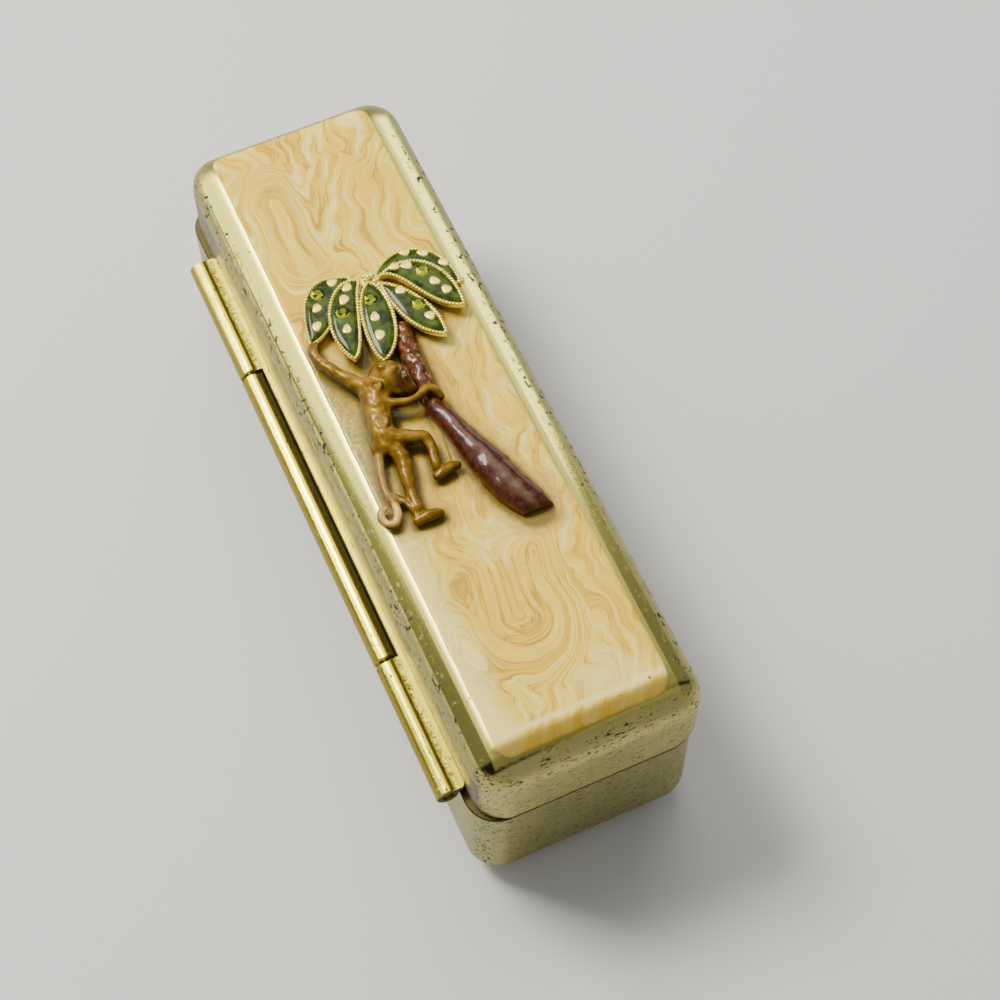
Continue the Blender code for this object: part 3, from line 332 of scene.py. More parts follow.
class WornGold(Look):
    """Gilt rubbed dull on the walls, pitted and scratched, above all at the ends."""

    def __init__(self, name, end_gold):
        super().__init__(name, DULL_GOLD)
        self.along, self.across = abs(self.x), abs(self.y)
        self.end_zone = self.along.fade(39.0, 40.2)
        self.grain = self.noise(5.0, 3.0, 0.7, self.stretched(0.5, 0.5, 2.4))
        self.crowding = self.noise(0.45, 3.0, 0.6).fade(0.4, 0.56)
        cloud = self.noise(0.35, 4.0, 0.6)
        self.rough = 0.36 + 0.14 * cloud
        self.tint(cloud.fade(0.1, 0.9), PALE_GOLD)
        self.tint(0.5 * self.grain.fade(0.45, 0.72), DULL_GOLD)
        self.tint(0.7 * self.end_zone, end_gold)
        self.pits = self.dents = self.scattered_pits()

    def scattered_pits(self):
        end_marks = most(self.dashes((2.0, 0.9, 6.5), 0.60), self.dashes((3.0, 2.2, 9.0), 0.62, 7.3))
        side_marks = most(self.dashes((1.2, 3.5, 3.5), 0.66, 3.1), self.dashes((2.6,) * 3, 0.70, 5.9))
        lone_pits = self.specks((0.42,) * 3, 0.32, 0.085, 0.12, 11.7)
        corner = self.across.fade(10.2, 12.0) * self.along.fade(38.0, 40.6)
        return most(end_marks * (0.3 + 0.7 * self.crowding) * self.end_zone,
                    side_marks * self.crowding * (1.0 - self.end_zone), lone_pits,
                    self.dashes((2.2, 2.2, 3.0), 0.59, 2.4) * corner).fade(0.25, 0.5)

    def polish_bevel(self):
        """The bevel is polished, with a painted dark reflection on its near half and a painted band of
        shade across its near end.
        """
        edge = 0.8 * (self.noise(1.6, 4.0, 0.7) - 0.5)
        end = self.x + edge
        polish = (end.below(37.0, 38.4) * end.fade(-39.9, -39.4) * (self.across + edge).below(11.3, 11.7)
                  * self.z.fade(24.4, 25.0))
        # Painted dark reflection: the polished bevel darkens towards the near end.
        dark_reflection = 0.84 * self.x.below(-33.0, -12.0)
        self.tint(polish, self.blend(dark_reflection, POLISHED_GOLD, DARK_REFLECTION_GOLD))
        # Painted shade: a dark band of shadow and dark reflection under the enamel's edge at the near end,
        # thickest at the hinge-side corner.
        band_x = 0.3 * edge - self.x
        taper = band_x + 0.04 * (9.0 - self.y)
        near_band = band_x.fade(38.5, 38.9) * taper.below(39.7, 39.95) * self.z.fade(25.5, 25.8)
        self.tint(0.96 * near_band, PIT_AND_SHADE_BROWN)
        inner_edge = polish * self.across.below(9.95, 10.2)
        self.tint(0.5 * inner_edge, INNER_EDGE_GOLD)
        self.rough = inner_edge.mix(polish.mix(self.rough, 0.11), 0.38)
        self.dents = self.pits * (1.0 - polish)
        clean = polish * self.noise(0.3, 1.0).fade(0.42, 0.5)
        shoulder = self.across.fade(10.5, 11.1) * self.z.fade(23.0, 23.6)
        shoulder_marks = self.dashes((1.5,) * 3, 0.575, 6.1) * shoulder * self.crowding
        self.pits = most(self.pits * (1.0 - clean), self.grey_wall(), shoulder_marks)

    def grey_wall(self):
        """The lid's wall on the hinge side is grey and matt. The result is its marks."""
        wall_top = self.z + 2.0 * (self.noise(1.6, 4.0, 0.7) - 0.5)
        wall = self.y.fade(11.6, 11.95) * wall_top.below(23.2, 23.5)
        self.tint(0.85 * wall, self.blend(self.grain.fade(0.35, 0.7), DARK_WALL, PALE_WALL))
        self.rough = wall.mix(self.rough, 0.55)
        return self.dashes((1.4, 2.0, 3.5), 0.63, 8.8) * wall

    def finished(self):
        rubbed = self.noise(0.5, 5.0, 0.7).fade(0.6, 0.66) * self.across.fade(11.0, 12.5) * 0.7
        self.tint(0.8 * rubbed, BARE_METAL)
        self.tint(0.8 * abs(self.z - SEAM_Z).below(0.1, 0.3), PIT_AND_SHADE_BROWN)
        self.tint(self.pits, PIT_AND_SHADE_BROWN)
        scratches = self.noise(9.0, vector=self.stretched(0.25, 1.0, 1.6))
        return self.done(Metallic=self.pits.mix(1.0, 0.2), Roughness=self.pits.mix(self.rough, 0.7),
                         Normal=self.bump(1.0 - self.dents, 0.004, self.bump(0.5 * scratches, 0.012)))


def lid_gold_look():
    gold = WornGold("worn_gold_lid", LID_END_GOLD)
    gold.polish_bevel()
    return gold.finished()


def hinge_gold_look():
    """Bright yellow gilt with a stained, cross-scratched line where the leaf meets the barrel, painted dark
    reflections along the barrel, and painted shade in the gap beside it and on its ends.
    """
    look = Look("hinge_gold", (0.89, 0.76, 0.08))
    x, y, z = look.x, look.y, look.z
    cloud = look.noise(0.5, 3.0)
    look.tint(cloud.fade(0.4, 0.7), (0.97, 0.87, 0.15))
    flat = z.fade(17.85, 18.0) * y.below(13.4, 13.8)
    look.tint(0.6 * flat, (1.0, 0.85, 0.08))
    streaks = look.noise(3.0, 4.0, 0.7, look.stretched(2.4, 0.4, 0.5))
    stain = streaks.fade(0.47, 0.58) * flat * y.fade(12.4, 13.1) * 0.9
    look.tint(stain, (0.24, 0.12, 0.02))
    # Painted dark reflections: dark stripes along the barrel's inner valley and along its outer flank.
    valley_reflection = y.fade(13.05, 13.35) * y.below(13.6, 13.95)
    flank_reflection = y.fade(14.75, 15.05)
    look.tint(0.85 * most(valley_reflection, flank_reflection), (0.22, 0.17, 0.03))
    pits = most(0.9 * look.dashes((1.4, 3.5, 3.5), 0.66, 5.2),
                look.specks((0.5, 0.8, 0.8), 0.3, 0.1, 0.2, 2.2))
    # Painted shade: the gap between the leaf and the barrel, and the barrel's end faces, are painted near
    # black, matt and not metallic.
    gap_shade = z.below(17.98, 18.06) * y.fade(12.6, 12.68) * y.below(13.3, 13.9)
    ends_and_gap_shade = most(gap_shade, x.fade(33.1, 33.2), x.below(-37.0, -36.9))
    look.tint(most(pits, 0.9 * ends_and_gap_shade), PIT_AND_SHADE_BROWN)
    return look.done(Metallic=1.0 - ends_and_gap_shade, Normal=look.bump(1.0 - most(pits, stain), 0.02),
                       Roughness=0.15 + 0.12 * cloud + 0.5 * most(pits, ends_and_gap_shade))


def plain_gold_look(name, colour, roughness):
    look = Look(name, colour)
    cloud = look.noise(1.2, 4.0, 0.65)
    look.tint(0.5 * cloud.fade(0.5, 0.75), tuple(0.55 * part for part in colour))
    look.tint(look.specks((1.5,) * 3, 0.12, 0.16, 0.4, 4.4), PIT_AND_SHADE_BROWN)
    brushed = look.noise(8.0, vector=look.stretched(0.15, 1.0, 1.0))
    return look.done(Metallic=1.0, Roughness=roughness + 0.15 * cloud, Normal=look.bump(brushed, 0.006))


CREAM = (0.99, 0.73, 0.085)
PEACH = (0.85, 0.53, 0.025)
TAN = (0.44, 0.24, 0.012)
PEARL = (1.0, 0.86, 0.30)
LIP_TAN = (0.34, 0.22, 0.025)
# The next two colours are cement stain mixed with painted shade round the ornament.
STAIN_AND_SHADE = (0.52, 0.33, 0.05)
CEMENT_AND_SHADOW = (0.15, 0.105, 0.012)
GREY_DIRT = (0.24, 0.19, 0.07)
HOLE_BROWN = (0.16, 0.1, 0.03)
SPOT_BROWN = (0.3, 0.14, 0.01)
SPOT = (-37.4, -7.57, 0.0)


def lay_swirls(look, flat):
    """Streaks, veins and hair lines along a stirred flow, round a far eye and a near bowl."""
    stirred = look.warp(look.warp(flat, 0.075, 15.0), 0.24, 3.2)
    flow_x, flow_y, _ = look.parts(stirred)
    eddy = look.noise(0.4, 0.0, 0.5, flat) - 0.5
    eye = look.arch(look.warp(flat, 0.17, 2.0), (30.5, 4.9), (3.6, 2.3), -1.0)
    bowl = look.arch(look.warp(flat, 0.14, 2.6), (-25.5, 1.2), (6.0, 4.6), 1.0)
    in_eye = eye.below(0.9, 1.7) * look.x.fade(17.0, 22.0)
    in_bowl = bowl.below(0.8, 1.5) * look.x.below(-20.0, -14.0)
    lanes = in_eye.mix(0.85 * flow_y + 0.2 * flow_x + 1.1 * eddy, 3.0 * eye)
    lanes = in_bowl.mix(lanes, 4.2 * bowl)
    combed = look.node("CombineXYZ", {0: lanes, 1: 0.09 * flow_x}).outputs[0]
    streak = look.noise(1.0, 3.0, 0.58, combed)
    thread = look.noise(2.6, 2.0, 0.5, combed)
    strength = look.noise(0.16, 3.0, 0.5, look.vector('ADD', flat, (40.0, 9.0, 0.0))).fade(0.34, 0.62)
    look.tint(0.6 * look.noise(0.1, 3.0, 0.5, stirred).fade(0.36, 0.64), PEACH)
    look.tint(0.9 * streak.fade(0.46, 0.60), PEACH)
    look.tint(0.7 * streak.below(0.36, 0.46), PEARL)
    vein = streak.fade(0.555, 0.575) * streak.below(0.58, 0.64)
    look.tint(vein * (0.3 + 0.5 * strength), TAN)
    hair = abs(thread - 0.5).below(0.0, 0.018)
    look.tint(hair * (0.08 + 0.42 * strength), TAN)
    look.tint(0.3 * (in_eye * eye.fade(0.3, 0.45) * eye.below(0.75, 1.0)), TAN)


def lay_patches(look, flat):
    """Pale and dark patches along the edges, with a painted sheen along the hinge-side edge of the near
    half, and the crease, with a painted highlight, and lip at the near end.
    """
    x, y = look.x, look.y
    # Painted sheen: a pale band along the hinge-side edge of the near half.
    look.tint(0.7 * (y.fade(5.6, 8.6) * x.below(-6.0, 6.0)), PEARL)
    bare = look.noise(0.13, 2.0, 0.5, look.vector('ADD', flat, (3.0, 31.0, 0.0))).fade(0.5, 0.66)
    look.tint(0.5 * (bare * x.below(4.0, 12.0)), PEARL)
    look.tint(0.4 * (y.below(-9.3, -6.0) * x.below(-30.0, -8.0)), PEACH)
    # Painted highlight: a pale line along the near-end crease.
    look.tint(0.7 * abs(x + 37.1).below(0.1, 0.5), PEARL)
    look.tint(0.8 * x.below(-38.2, -37.4), LIP_TAN)


def marbled_enamel_look():
    """Glossy cream enamel with combed tan swirls, as stirred enamel sets, and dirt, cement stain and
    painted shade round the ornament.
    """
    look = Look("marbled_enamel", CREAM)
    x, y = look.x, look.y
    flat = look.stretched(1.0, 1.0, 0.0)
    lay_swirls(look, flat)
    lay_patches(look, flat)
    halo = look.attribute("halo")
    patchy = look.noise(0.9, 3.0) - 0.5
    # Cement stain with painted shade: brown fading out from the monkey, the trunk and under the fronds,
    # near black at their edges as painted shadow.
    look.tint(0.6 * (halo + 0.6 * patchy).fade(0.02, 0.4), STAIN_AND_SHADE)
    look.tint(0.9 * (halo + 0.45 * patchy).fade(0.34, 1.0), CEMENT_AND_SHADOW)
    dirt = y.fade(6.2, 7.6) * x.fade(-13.0, -9.0) * x.below(5.0, 9.0)
    look.tint(0.85 * (dirt * look.noise(2.6, 4.0, 0.75).fade(0.28, 0.66)), GREY_DIRT)
    holes = look.specks((0.75,) * 3, 0.4, 0.1, 0.1, 9.1) * (0.35 + 0.65 * x.below(-33.0, -20.0))
    look.tint(0.75 * holes, HOLE_BROWN)
    spot_gap = look.value("VectorMath", {0: flat, 1: SPOT}, "Value", operation='DISTANCE')
    look.tint(spot_gap.below(0.08, 0.26), SPOT_BROWN)
    swell = look.bump(look.noise(0.5), 0.05)
    return look.done(Roughness=0.5, Specular_IOR_Level=0.05, Coat_Weight=0.3, Coat_Roughness=0.05,
                       Normal=look.bump(1.0 - holes, 0.04, swell))


def green_enamel_look():
    """Dark translucent green with clouds of grey-green where the enamel is thin."""
    look = Look("green_enamel", (0.010, 0.022, 0.0005))
    cloud = look.noise(0.8, 4.0, 0.6, look.warp(look.place, 0.7, 1.4))
    look.tint(cloud.fade(0.35, 0.6), (0.058, 0.092, 0.003))
    look.tint(0.7 * cloud.fade(0.6, 0.74), (0.12, 0.17, 0.05))
    return look.done(Roughness=0.4, Specular_IOR_Level=0.05, Coat_Weight=0.35, Coat_Roughness=0.05,
                       Normal=look.bump(look.noise(1.3), 0.06))


def ornament_gold_look():
    """Pale cast gold on the rims and islands, running to a painted amber-brown shade low on the fronds'
    sides, beneath them.
    """
    look = Look("bright_gold", (0.90, 0.70, 0.10))
    cloud = look.noise(1.6, 4.0, 0.6)
    look.tint(cloud.fade(0.4, 0.65), (0.99, 0.93, 0.24))
    # Painted shade: the casting is darkened to amber-brown low down, beneath the fronds.
    look.tint(0.85 * look.z.below(28.0, 28.35), (0.2, 0.085, 0.02))
    return look.done(Metallic=0.65, Roughness=0.14 + 0.2 * cloud, Normal=look.bump(look.noise(5.0), 0.02))


def brown_enamel_look():
    """Glossy brown: mottled red-brown on the upper trunk and dark below, with a painted highlight along the
    lower ridge.
    """
    look = Look("brown_enamel", (0.030, 0.005, 0.001))
    upper = look.x.fade(-1.6, 0.4)
    mottle = look.noise(1.5, 4.0, 0.65, look.warp(look.place, 1.2, 0.6))
    look.tint(mottle.fade(0.35, 0.7), (0.095, 0.022, 0.006))
    look.tint(upper, look.blend(mottle.fade(0.35, 0.68), (0.055, 0.011, 0.003), (0.20, 0.065, 0.016)))
    look.tint(0.6 * look.z.below(27.7, 28.5), (0.15, 0.022, 0.003))
    sparkle = look.noise(2.6, 3.0, 0.7).fade(0.6, 0.68) * upper
    look.tint(sparkle, (0.75, 0.45, 0.12))
    # Painted highlight: a soft greyish streak along the lower trunk's ridge.
    ridge = look.attribute("ridge") * (1.0 - upper) * mottle.fade(0.2, 0.5)
    look.tint(0.6 * ridge, (0.15, 0.088, 0.048))
    return look.done(Metallic=0.9 * sparkle, Roughness=0.45, Specular_IOR_Level=0.15, Coat_Weight=0.4,
                       Coat_Roughness=0.11, Normal=look.bump(look.noise(1.4), 0.04))


def amber_enamel_look():
    """Caramel enamel, thin and pale on the high parts and pooled dark olive-brown in the hollows, with
    painted light on the upward-facing parts and painted shade on the sides.
    """
    look = Look("amber_enamel", (0.036, 0.015, 0.001))
    cloud = look.noise(0.9, 4.0, 0.55, look.warp(look.place, 0.8, 1.0))
    # The crest mark is partly thin enamel and partly painted light: it follows how far each part faces up,
    # with painted highlight lines on the crests.
    crest = look.attribute("crest") + 0.9 * (cloud - 0.5)
    look.tint(crest.fade(0.2, 0.85), (0.165, 0.083, 0.005))
    look.tint(crest.fade(0.78, 1.15), (0.34, 0.19, 0.02))
    look.tint(look.attribute("dark"), (0.045, 0.016, 0.002))
    look.tint(look.attribute("pale"), (0.82, 0.54, 0.16))
    return look.done(Roughness=0.24, Specular_IOR_Level=0.35, Specular_Tint=(1.0, 0.70, 0.28),
                       Coat_Weight=0.12, Coat_Roughness=0.06, Normal=look.bump(look.noise(1.4, 3.0), 0.05))


def crystal_look():
    """Foil-backed peridot, with painted glints on some facets and the rest left dark."""
    look = Look("crystal", (0.012, 0.024, 0.001))
    # Painted glints: the facet mark brightens facets by their lean.
    look.tint(look.attribute("facet"), (0.80, 0.86, 0.02))
    return look.done(Metallic=0.6, Roughness=0.06, Specular_IOR_Level=0.2, Coat_Weight=0.15,
                       Coat_Roughness=0.01)


def mirror_look():
    look = Look("mirror", (0.86, 0.88, 0.88))
    haze = look.noise(0.3, 4.0, 0.6).fade(0.45, 0.8)
    return look.done(Metallic=1.0, Roughness=0.01 + 0.05 * haze)


def flock_look():
    """Deep red flocking with brushed pile."""
    look = Look("flock", (0.12, 0.012, 0.022))
    pile = look.noise(9.0, 3.0, 0.7)
    look.tint(look.noise(0.35, 3.0).fade(0.35, 0.65), (0.2, 0.025, 0.04))
    look.tint(0.5 * pile.fade(0.45, 0.7), (0.3, 0.06, 0.07))
    return look.done(Roughness=0.95, Sheen_Weight=0.7, Sheen_Roughness=0.4, Normal=look.bump(pile, 0.12))


def pad_look():
    look = Look("pad", (0.3, 0.27, 0.22))
    fibre = look.noise(5.0, 3.0, 0.5, look.stretched(0.4, 1.0, 1.0))
    look.tint(fibre, (0.42, 0.39, 0.33))
    return look.done(Roughness=0.9, Normal=look.bump(fibre, 0.05))


def steel_look():
    look = Look("spring_steel", (0.42, 0.4, 0.37))
    brushed = look.noise(6.0, 3.0, 0.5, look.stretched(1.0, 1.0, 0.15))
    look.tint(brushed, (0.6, 0.58, 0.55))
    return look.done(Metallic=1.0, Roughness=0.2 + 0.2 * brushed, Normal=look.bump(brushed, 0.01))


# -------------------- shapes

def clamp(value):
    return min(max(value, 0.0), 1.0)


def place_object(name, data):
    item = bpy.data.objects.new(name, data)
    bpy.context.scene.collection.objects.link(item)
    return item


def mesh_from(name, bm):
    mesh = bpy.data.meshes.new(name)
    bm.to_mesh(mesh)
    bm.free()
    return mesh


def add_piece(name, bm, material, stands_for, sharp_angle=None):
    """Adds a piece that rides on a body and takes the place of a CAD node. Gives its mesh."""
    bmesh.ops.recalc_face_normals(bm, faces=bm.faces)
    mesh = mesh_from(name, bm)
    mesh.materials.append(material)
    mesh.shade_smooth()
    if sharp_angle is not None:
        mesh.set_sharp_from_angle(angle=radians(sharp_angle))
    item = place_object(name, mesh)
    body, slot, node = stands_for
    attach(item, body)
    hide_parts(node)
    return mesh


def mark(mesh, name, values, domain='POINT'):
    """Keeps a number for each point or face, which a material reads."""
    mesh.attributes.new(name, 'FLOAT', domain).data.foreach_set("value", values)


def rounded_outline(low, high, radius, corner_steps, x_spans, y_spans):
    """A rounded rectangle, anticlockwise from its right side, with points along its straight sides too."""
    points = []
    corners = ((high[0], high[1], 0), (low[0], high[1], 90), (low[0], low[1], 180), (high[0], low[1], 270))
    for x, y, start in corners:
        centre_x = x + (radius if x == low[0] else -radius)
        centre_y = y + (radius if y == low[1] else -radius)
        for step in range(corner_steps + 1):
            angle = radians(start + 90 * step / corner_steps)
            points.append((centre_x + radius * cos(angle), centre_y + radius * sin(angle)))
    full = []
    block = corner_steps + 1
    for side, spans in enumerate((x_spans, y_spans, x_spans, y_spans)):
        full += points[side * block:(side + 1) * block]
        start = Vector(points[(side + 1) * block - 1])
        end = Vector(points[(side + 1) * block % len(points)])
        for step in range(1, spans):
            full.append(tuple(start.lerp(end, step / spans)))
    return full


def loft(rings, cap=True):
    """A closed bmesh through rings of equal length."""
    bm = bmesh.new()
    loops = [[bm.verts.new(Vector(point) * MM) for point in ring] for ring in rings]
    for lower, upper in zip(loops, loops[1:]):
        for index in range(len(lower)):
            after = (index + 1) % len(lower)
            bm.faces.new((lower[index], lower[after], upper[after], upper[index]))
    if cap:
        bm.faces.new(list(reversed(loops[0])))
        bm.faces.new(loops[-1])
    return bm


def corner_radius(inset):
    return max(CORNER_RADIUS - CORNER_TIGHTENING * inset, LEAST_CORNER)


def case_outline(inset, front, back):
    """An outline inset from the case's ends, between its front and back sides."""
    low = (inset - HALF_LENGTH, front)
    high = (HALF_LENGTH - inset, back)
    return rounded_outline(low, high, corner_radius(inset), *CASE_SPANS)


def base_ring(inset, z):
    return [(x, y, z) for x, y in case_outline(inset, BASE_FRONT + inset, HALF_WIDTH - inset)]


def lid_ring(inset, z, front=-HALF_WIDTH):
    """The lid's wall stands back on the hinge side, and its dome leans out again to the facet."""
    setback = (HALF_WIDTH - LID_BACK) * max(0.0, 1.0 - inset / FACET_OUTER[0])
    return [(x, y, z) for x, y in case_outline(inset, front + inset, HALF_WIDTH - inset - setback)]


def cavity_ring(inset, z, front=-HALF_WIDTH):
    back = min(HALF_WIDTH - inset, LID_BACK - WALL)
    return [(x, y, z) for x, y in case_outline(inset, front + inset, back)]


def dome_arc():
    """Radius and sweep of the lid's lower dome, which leaves the wall upright."""
    run = FACET_OUTER[0]
    rise = DOME_START_DROP - FACET_OUTER[1]
    sweep = 2.0 * atan2(run, rise)
    return rise / sin(sweep), sweep


def dome_drop(inset):
    """How far the lid is below its top, at a distance in from the wall."""
    radius, sweep = dome_arc()
    if inset <= FACET_OUTER[0]:
        angle = acos(max(1.0 - inset / radius, cos(sweep)))
        return DOME_START_DROP - radius * sin(angle)
    if inset <= FACET_INNER[0]:
        share = (inset - FACET_OUTER[0]) / (FACET_INNER[0] - FACET_OUTER[0])
        worn_round = 4.0 * FACET_WEAR * share * (1.0 - share)
        return FACET_OUTER[1] + (FACET_INNER[1] - FACET_OUTER[1]) * share - worn_round
    if inset <= CROWN_INSET:
        share = (inset - FACET_INNER[0]) / (CROWN_INSET - FACET_INNER[0])
        return FACET_INNER[1] * (1.0 - share) ** 2
    return 0.0


def inset_at(x, y):
    """Which inset outline of the lid passes through a point of its plan."""
    low, high = 0.0, 6.0
    for _ in range(22):
        inset = 0.5 * (low + high)
        radius = corner_radius(inset)
        over_x = abs(x) - (HALF_LENGTH - inset - radius)
        over_y = abs(y) - (HALF_WIDTH - inset - radius)
        outside = hypot(max(over_x, 0.0), max(over_y, 0.0)) + min(max(over_x, over_y), 0.0) - radius
        if outside > 0.0:
            high = inset
        else:
            low = inset
    return low


def lid_height(x, y):
    return LID_TOP_Z - dome_drop(inset_at(x, y))


def enamel_outline(inset, *spans):
    """The enamel's edge drawn in by inset. Spans are those of its corners, long sides and short sides."""
    low = (ENAMEL_X[0] + inset, inset - ENAMEL_HALF_WIDTH)
    high = (ENAMEL_X[1] - inset, ENAMEL_HALF_WIDTH - inset)
    radius = max(ENAMEL_CORNER - inset, 0.05)
    return [bulged(x, y) for x, y in rounded_outline(low, high, radius, *spans)]


def bulged(x, y):
    """The enamel overruns its edge a little on the front side of the near half."""
    start, full = ENAMEL_BULGE_X
    share = clamp((x - start) / (full - start))
    share = share * share * (3.0 - 2.0 * share)
    fall_off = clamp((x - ENAMEL_X[0]) / 3.0)
    waver = 0.06 * noise.noise(Vector((0.4 * x, 0.4 * y, 2.0)))
    sideways = -ENAMEL_BULGE * share * fall_off * max(-y / ENAMEL_HALF_WIDTH, 0.0)
    return (x + waver * abs(x) / HALF_LENGTH, y + sideways + waver * abs(y) / ENAMEL_HALF_WIDTH)


def make_base_case(material):
    top = SEAM_Z - 0.5 * SEAM_GAP
    rings = fillet_rings(0.0, BASE_FILLET, 0.0)
    rings += [base_ring(0.0, top - EDGE_BREAK), base_ring(EDGE_BREAK, top), base_ring(WALL, top)]
    rings += list(reversed(fillet_rings(WALL, BASE_FILLET - WALL, WALL)))
    add_piece("base_case", loft(rings), material, ("base", "worn_gold", "base_shell"), 40)


def fillet_rings(inset, fillet, floor_z):
    rings = []
    for step in range(17):
        angle = radians(90 * step / 16)
        rings.append(base_ring(inset + fillet * (1 - sin(angle)),
                               floor_z + fillet * (1 - cos(angle))))
    return rings


def lid_cavity_rings(chamfer_top, bottom):
    rings = []
    depth = LID_CEILING_Z - LID_CAVITY_SHOULDER_Z
    for step in range(10, 0, -1):
        angle = radians(9 * step)
        rings.append(cavity_ring(WALL + (LID_CEILING_INSET - WALL) * (1 - cos(angle)),
                                 LID_CAVITY_SHOULDER_Z + depth * sin(angle)))
    rings += [cavity_ring(WALL, LID_CAVITY_SHOULDER_Z), cavity_ring(WALL, chamfer_top + 0.3),
              cavity_ring(WALL, chamfer_top - 0.05, BASE_FRONT), cavity_ring(WALL, bottom, BASE_FRONT)]
    return rings


def make_lid_case(material):
    bottom = SEAM_Z + 0.5 * SEAM_GAP
    chamfer_top = bottom + EDGE_BREAK + FRONT_CHAMFER_HEIGHT
    rings = lid_cavity_rings(chamfer_top, bottom)
    rings += [lid_ring(EDGE_BREAK, bottom, BASE_FRONT), lid_ring(0.0, bottom + EDGE_BREAK, BASE_FRONT),
              lid_ring(0.0, chamfer_top)]
    radius, sweep = dome_arc()
    for step in range(15):
        angle = sweep * step / 14
        rings.append(lid_ring(radius * (1 - cos(angle)),
                              LID_TOP_Z - DOME_START_DROP + radius * sin(angle)))
    reach = HALF_WIDTH - FACET_OUTER[0]
    outer = case_outline(FACET_OUTER[0], -reach, reach)
    inner = enamel_outline(0.0, *CASE_SPANS)
    for step in range(1, 15):
        share = step / 14
        ring = [Vector(a).lerp(Vector(b), share) for a, b in zip(outer, inner)]
        rings.append([(x, y, lid_height(x, y)) for x, y in ring])
    rings.append([(x, y, z - ENAMEL_DEPTH) for x, y, z in rings[-1]])
    add_piece("lid_case", loft(rings), material, ("lid", "worn_gold", "lid_shell"), 40)


def make_enamel_plate(material):
    insets = [0.0, 0.0, 0.04, 0.1, 0.18, 0.3, 0.5, 0.8]
    while insets[-1] + ENAMEL_CELL < ENAMEL_HALF_WIDTH - 0.1:
        insets.append(insets[-1] + ENAMEL_CELL)
    x_spans = round((ENAMEL_X[1] - ENAMEL_X[0]) / ENAMEL_CELL)
    y_spans = round(2.0 * ENAMEL_HALF_WIDTH / ENAMEL_CELL)
    rings = []
    for index, inset in enumerate(insets):
        ring = []
        for x, y in enamel_outline(inset, 8, x_spans, y_spans):
            lift = ENAMEL_PROUD * (1.0 - exp(-inset / 0.16)) if index else 0.3 - ENAMEL_DEPTH
            sway = 0.015 * noise.noise(Vector((0.25 * x, 0.25 * y, 5.0)))
            ring.append((x, y, lid_height(x, y) + lift + sway * min(inset, 1.0)))
        rings.append(ring)
    mark_halo(add_piece("enamel_plate", loft(rings), material, ("lid", "marbled_enamel", "lid_enamel"), 50))


def strip_distance(point, stations):
    """Distance in plan from a point to a chain of discs, less their radius."""
    least = 1e9
    for (ax, ay, ar), (bx, by, br) in zip(stations, stations[1:]):
        start, along = Vector((ax, ay)), Vector((bx - ax, by - ay))
        share = clamp((point - start).dot(along) / max(along.length_squared, 1e-9))
        least = min(least, (point - start - along * share).length - (ar + (br - ar) * share))
    return least


def mark_halo(mesh):
    """Cement has crept out round the monkey and the trunk and stained the enamel there; the mark also
    carries painted shade round them and under the fronds.
    """
    chains = [[(x, y, r) for x, y, _, r in chain] for chain in (TORSO, HEAD, NECK, *LIMBS.values())]
    chains.append([(x, y, half) for x, y, half, _ in TRUNK])
    # This patch marks the painted shade under the fronds near the hub.
    chains.append([(HUB[0] - 7.5, 2.2, 3.0), (HUB[0] - 4.0, 1.0, 4.5), (HUB[0] - 5.5, -4.0, 2.2)])
    halo = []
    for vertex in mesh.vertices:
        place = Vector((vertex.co.x / MM, vertex.co.y / MM))
        near = HALO_X[0] < place.x < HALO_X[1]
        gap = min(strip_distance(place, chain) for chain in chains) if near else inf
        halo.append(exp(-max(gap, 0.0) / HALO_REACH))
    mark(mesh, "halo", halo)


# -------------------- palm

def bezier(start, handles, end, fraction):
    rest = 1.0 - fraction
    first, second = handles
    return Vector([rest ** 3 * a + 3 * rest ** 2 * fraction * b + 3 * rest * fraction ** 2 * c
                   + fraction ** 3 * d for a, b, c, d in zip(start, first, second, end)])


def frond_pair(frond, fraction):
    """The middle of a frond and the half-width vector to its outer side, at a fraction of its length."""
    side_a = bezier(frond.root, frond.outer, frond.tip, fraction)
    side_b = bezier(frond.root, frond.inner, frond.tip, fraction)
    return 0.5 * (side_a + side_b), 0.5 * (side_a - side_b)


def frond_ring(frond, inset):
    """A frond's outline drawn in by inset, as (x, y, fraction), always with the same number of points."""
    fits = [step / 300 for step in range(1, 300)
            if frond_pair(frond, step / 300)[1].length > inset + 0.07]
    first, last = fits[0], fits[-1]
    outer, inner = [], []
    for step in range(FROND_STEPS + 1):
        fraction = first + (last - first) * step / FROND_STEPS
        middle, half = frond_pair(frond, fraction)
        half = half * max(1.0 - inset / half.length, 0.05)
        outer.append((*(middle + half), fraction))
        inner.append((*(middle - half), fraction))
    return outer + inner[::-1]


def frond_top(frond, fraction):
    return FROND_TOP_Z[frond.layer] - FROND_DROOP * fraction ** 2


def frond_loft(frond, levels):
    """A closed bmesh through (inset, height above the frond's top) levels."""
    rings = []
    for inset, lift in levels:
        rings.append([(x, y, max(frond_top(frond, fraction) + lift, ORNAMENT_Z))
                      for x, y, fraction in frond_ring(frond, inset)])
    bm = loft(rings, cap=False)
    bm.verts.ensure_lookup_table()
    count = len(rings[0])
    for start in (0, count * (len(rings) - 1)):
        for step in range(FROND_STEPS):
            a, b = start + step, start + step + 1
            c, d = start + count - 2 - step, start + count - 1 - step
            bm.faces.new([bm.verts[i] for i in (a, b, c, d)])
    return bm


def merge(target, source):
    mesh = mesh_from("merge", source)
    target.from_mesh(mesh)
    bpy.data.meshes.remove(mesh)


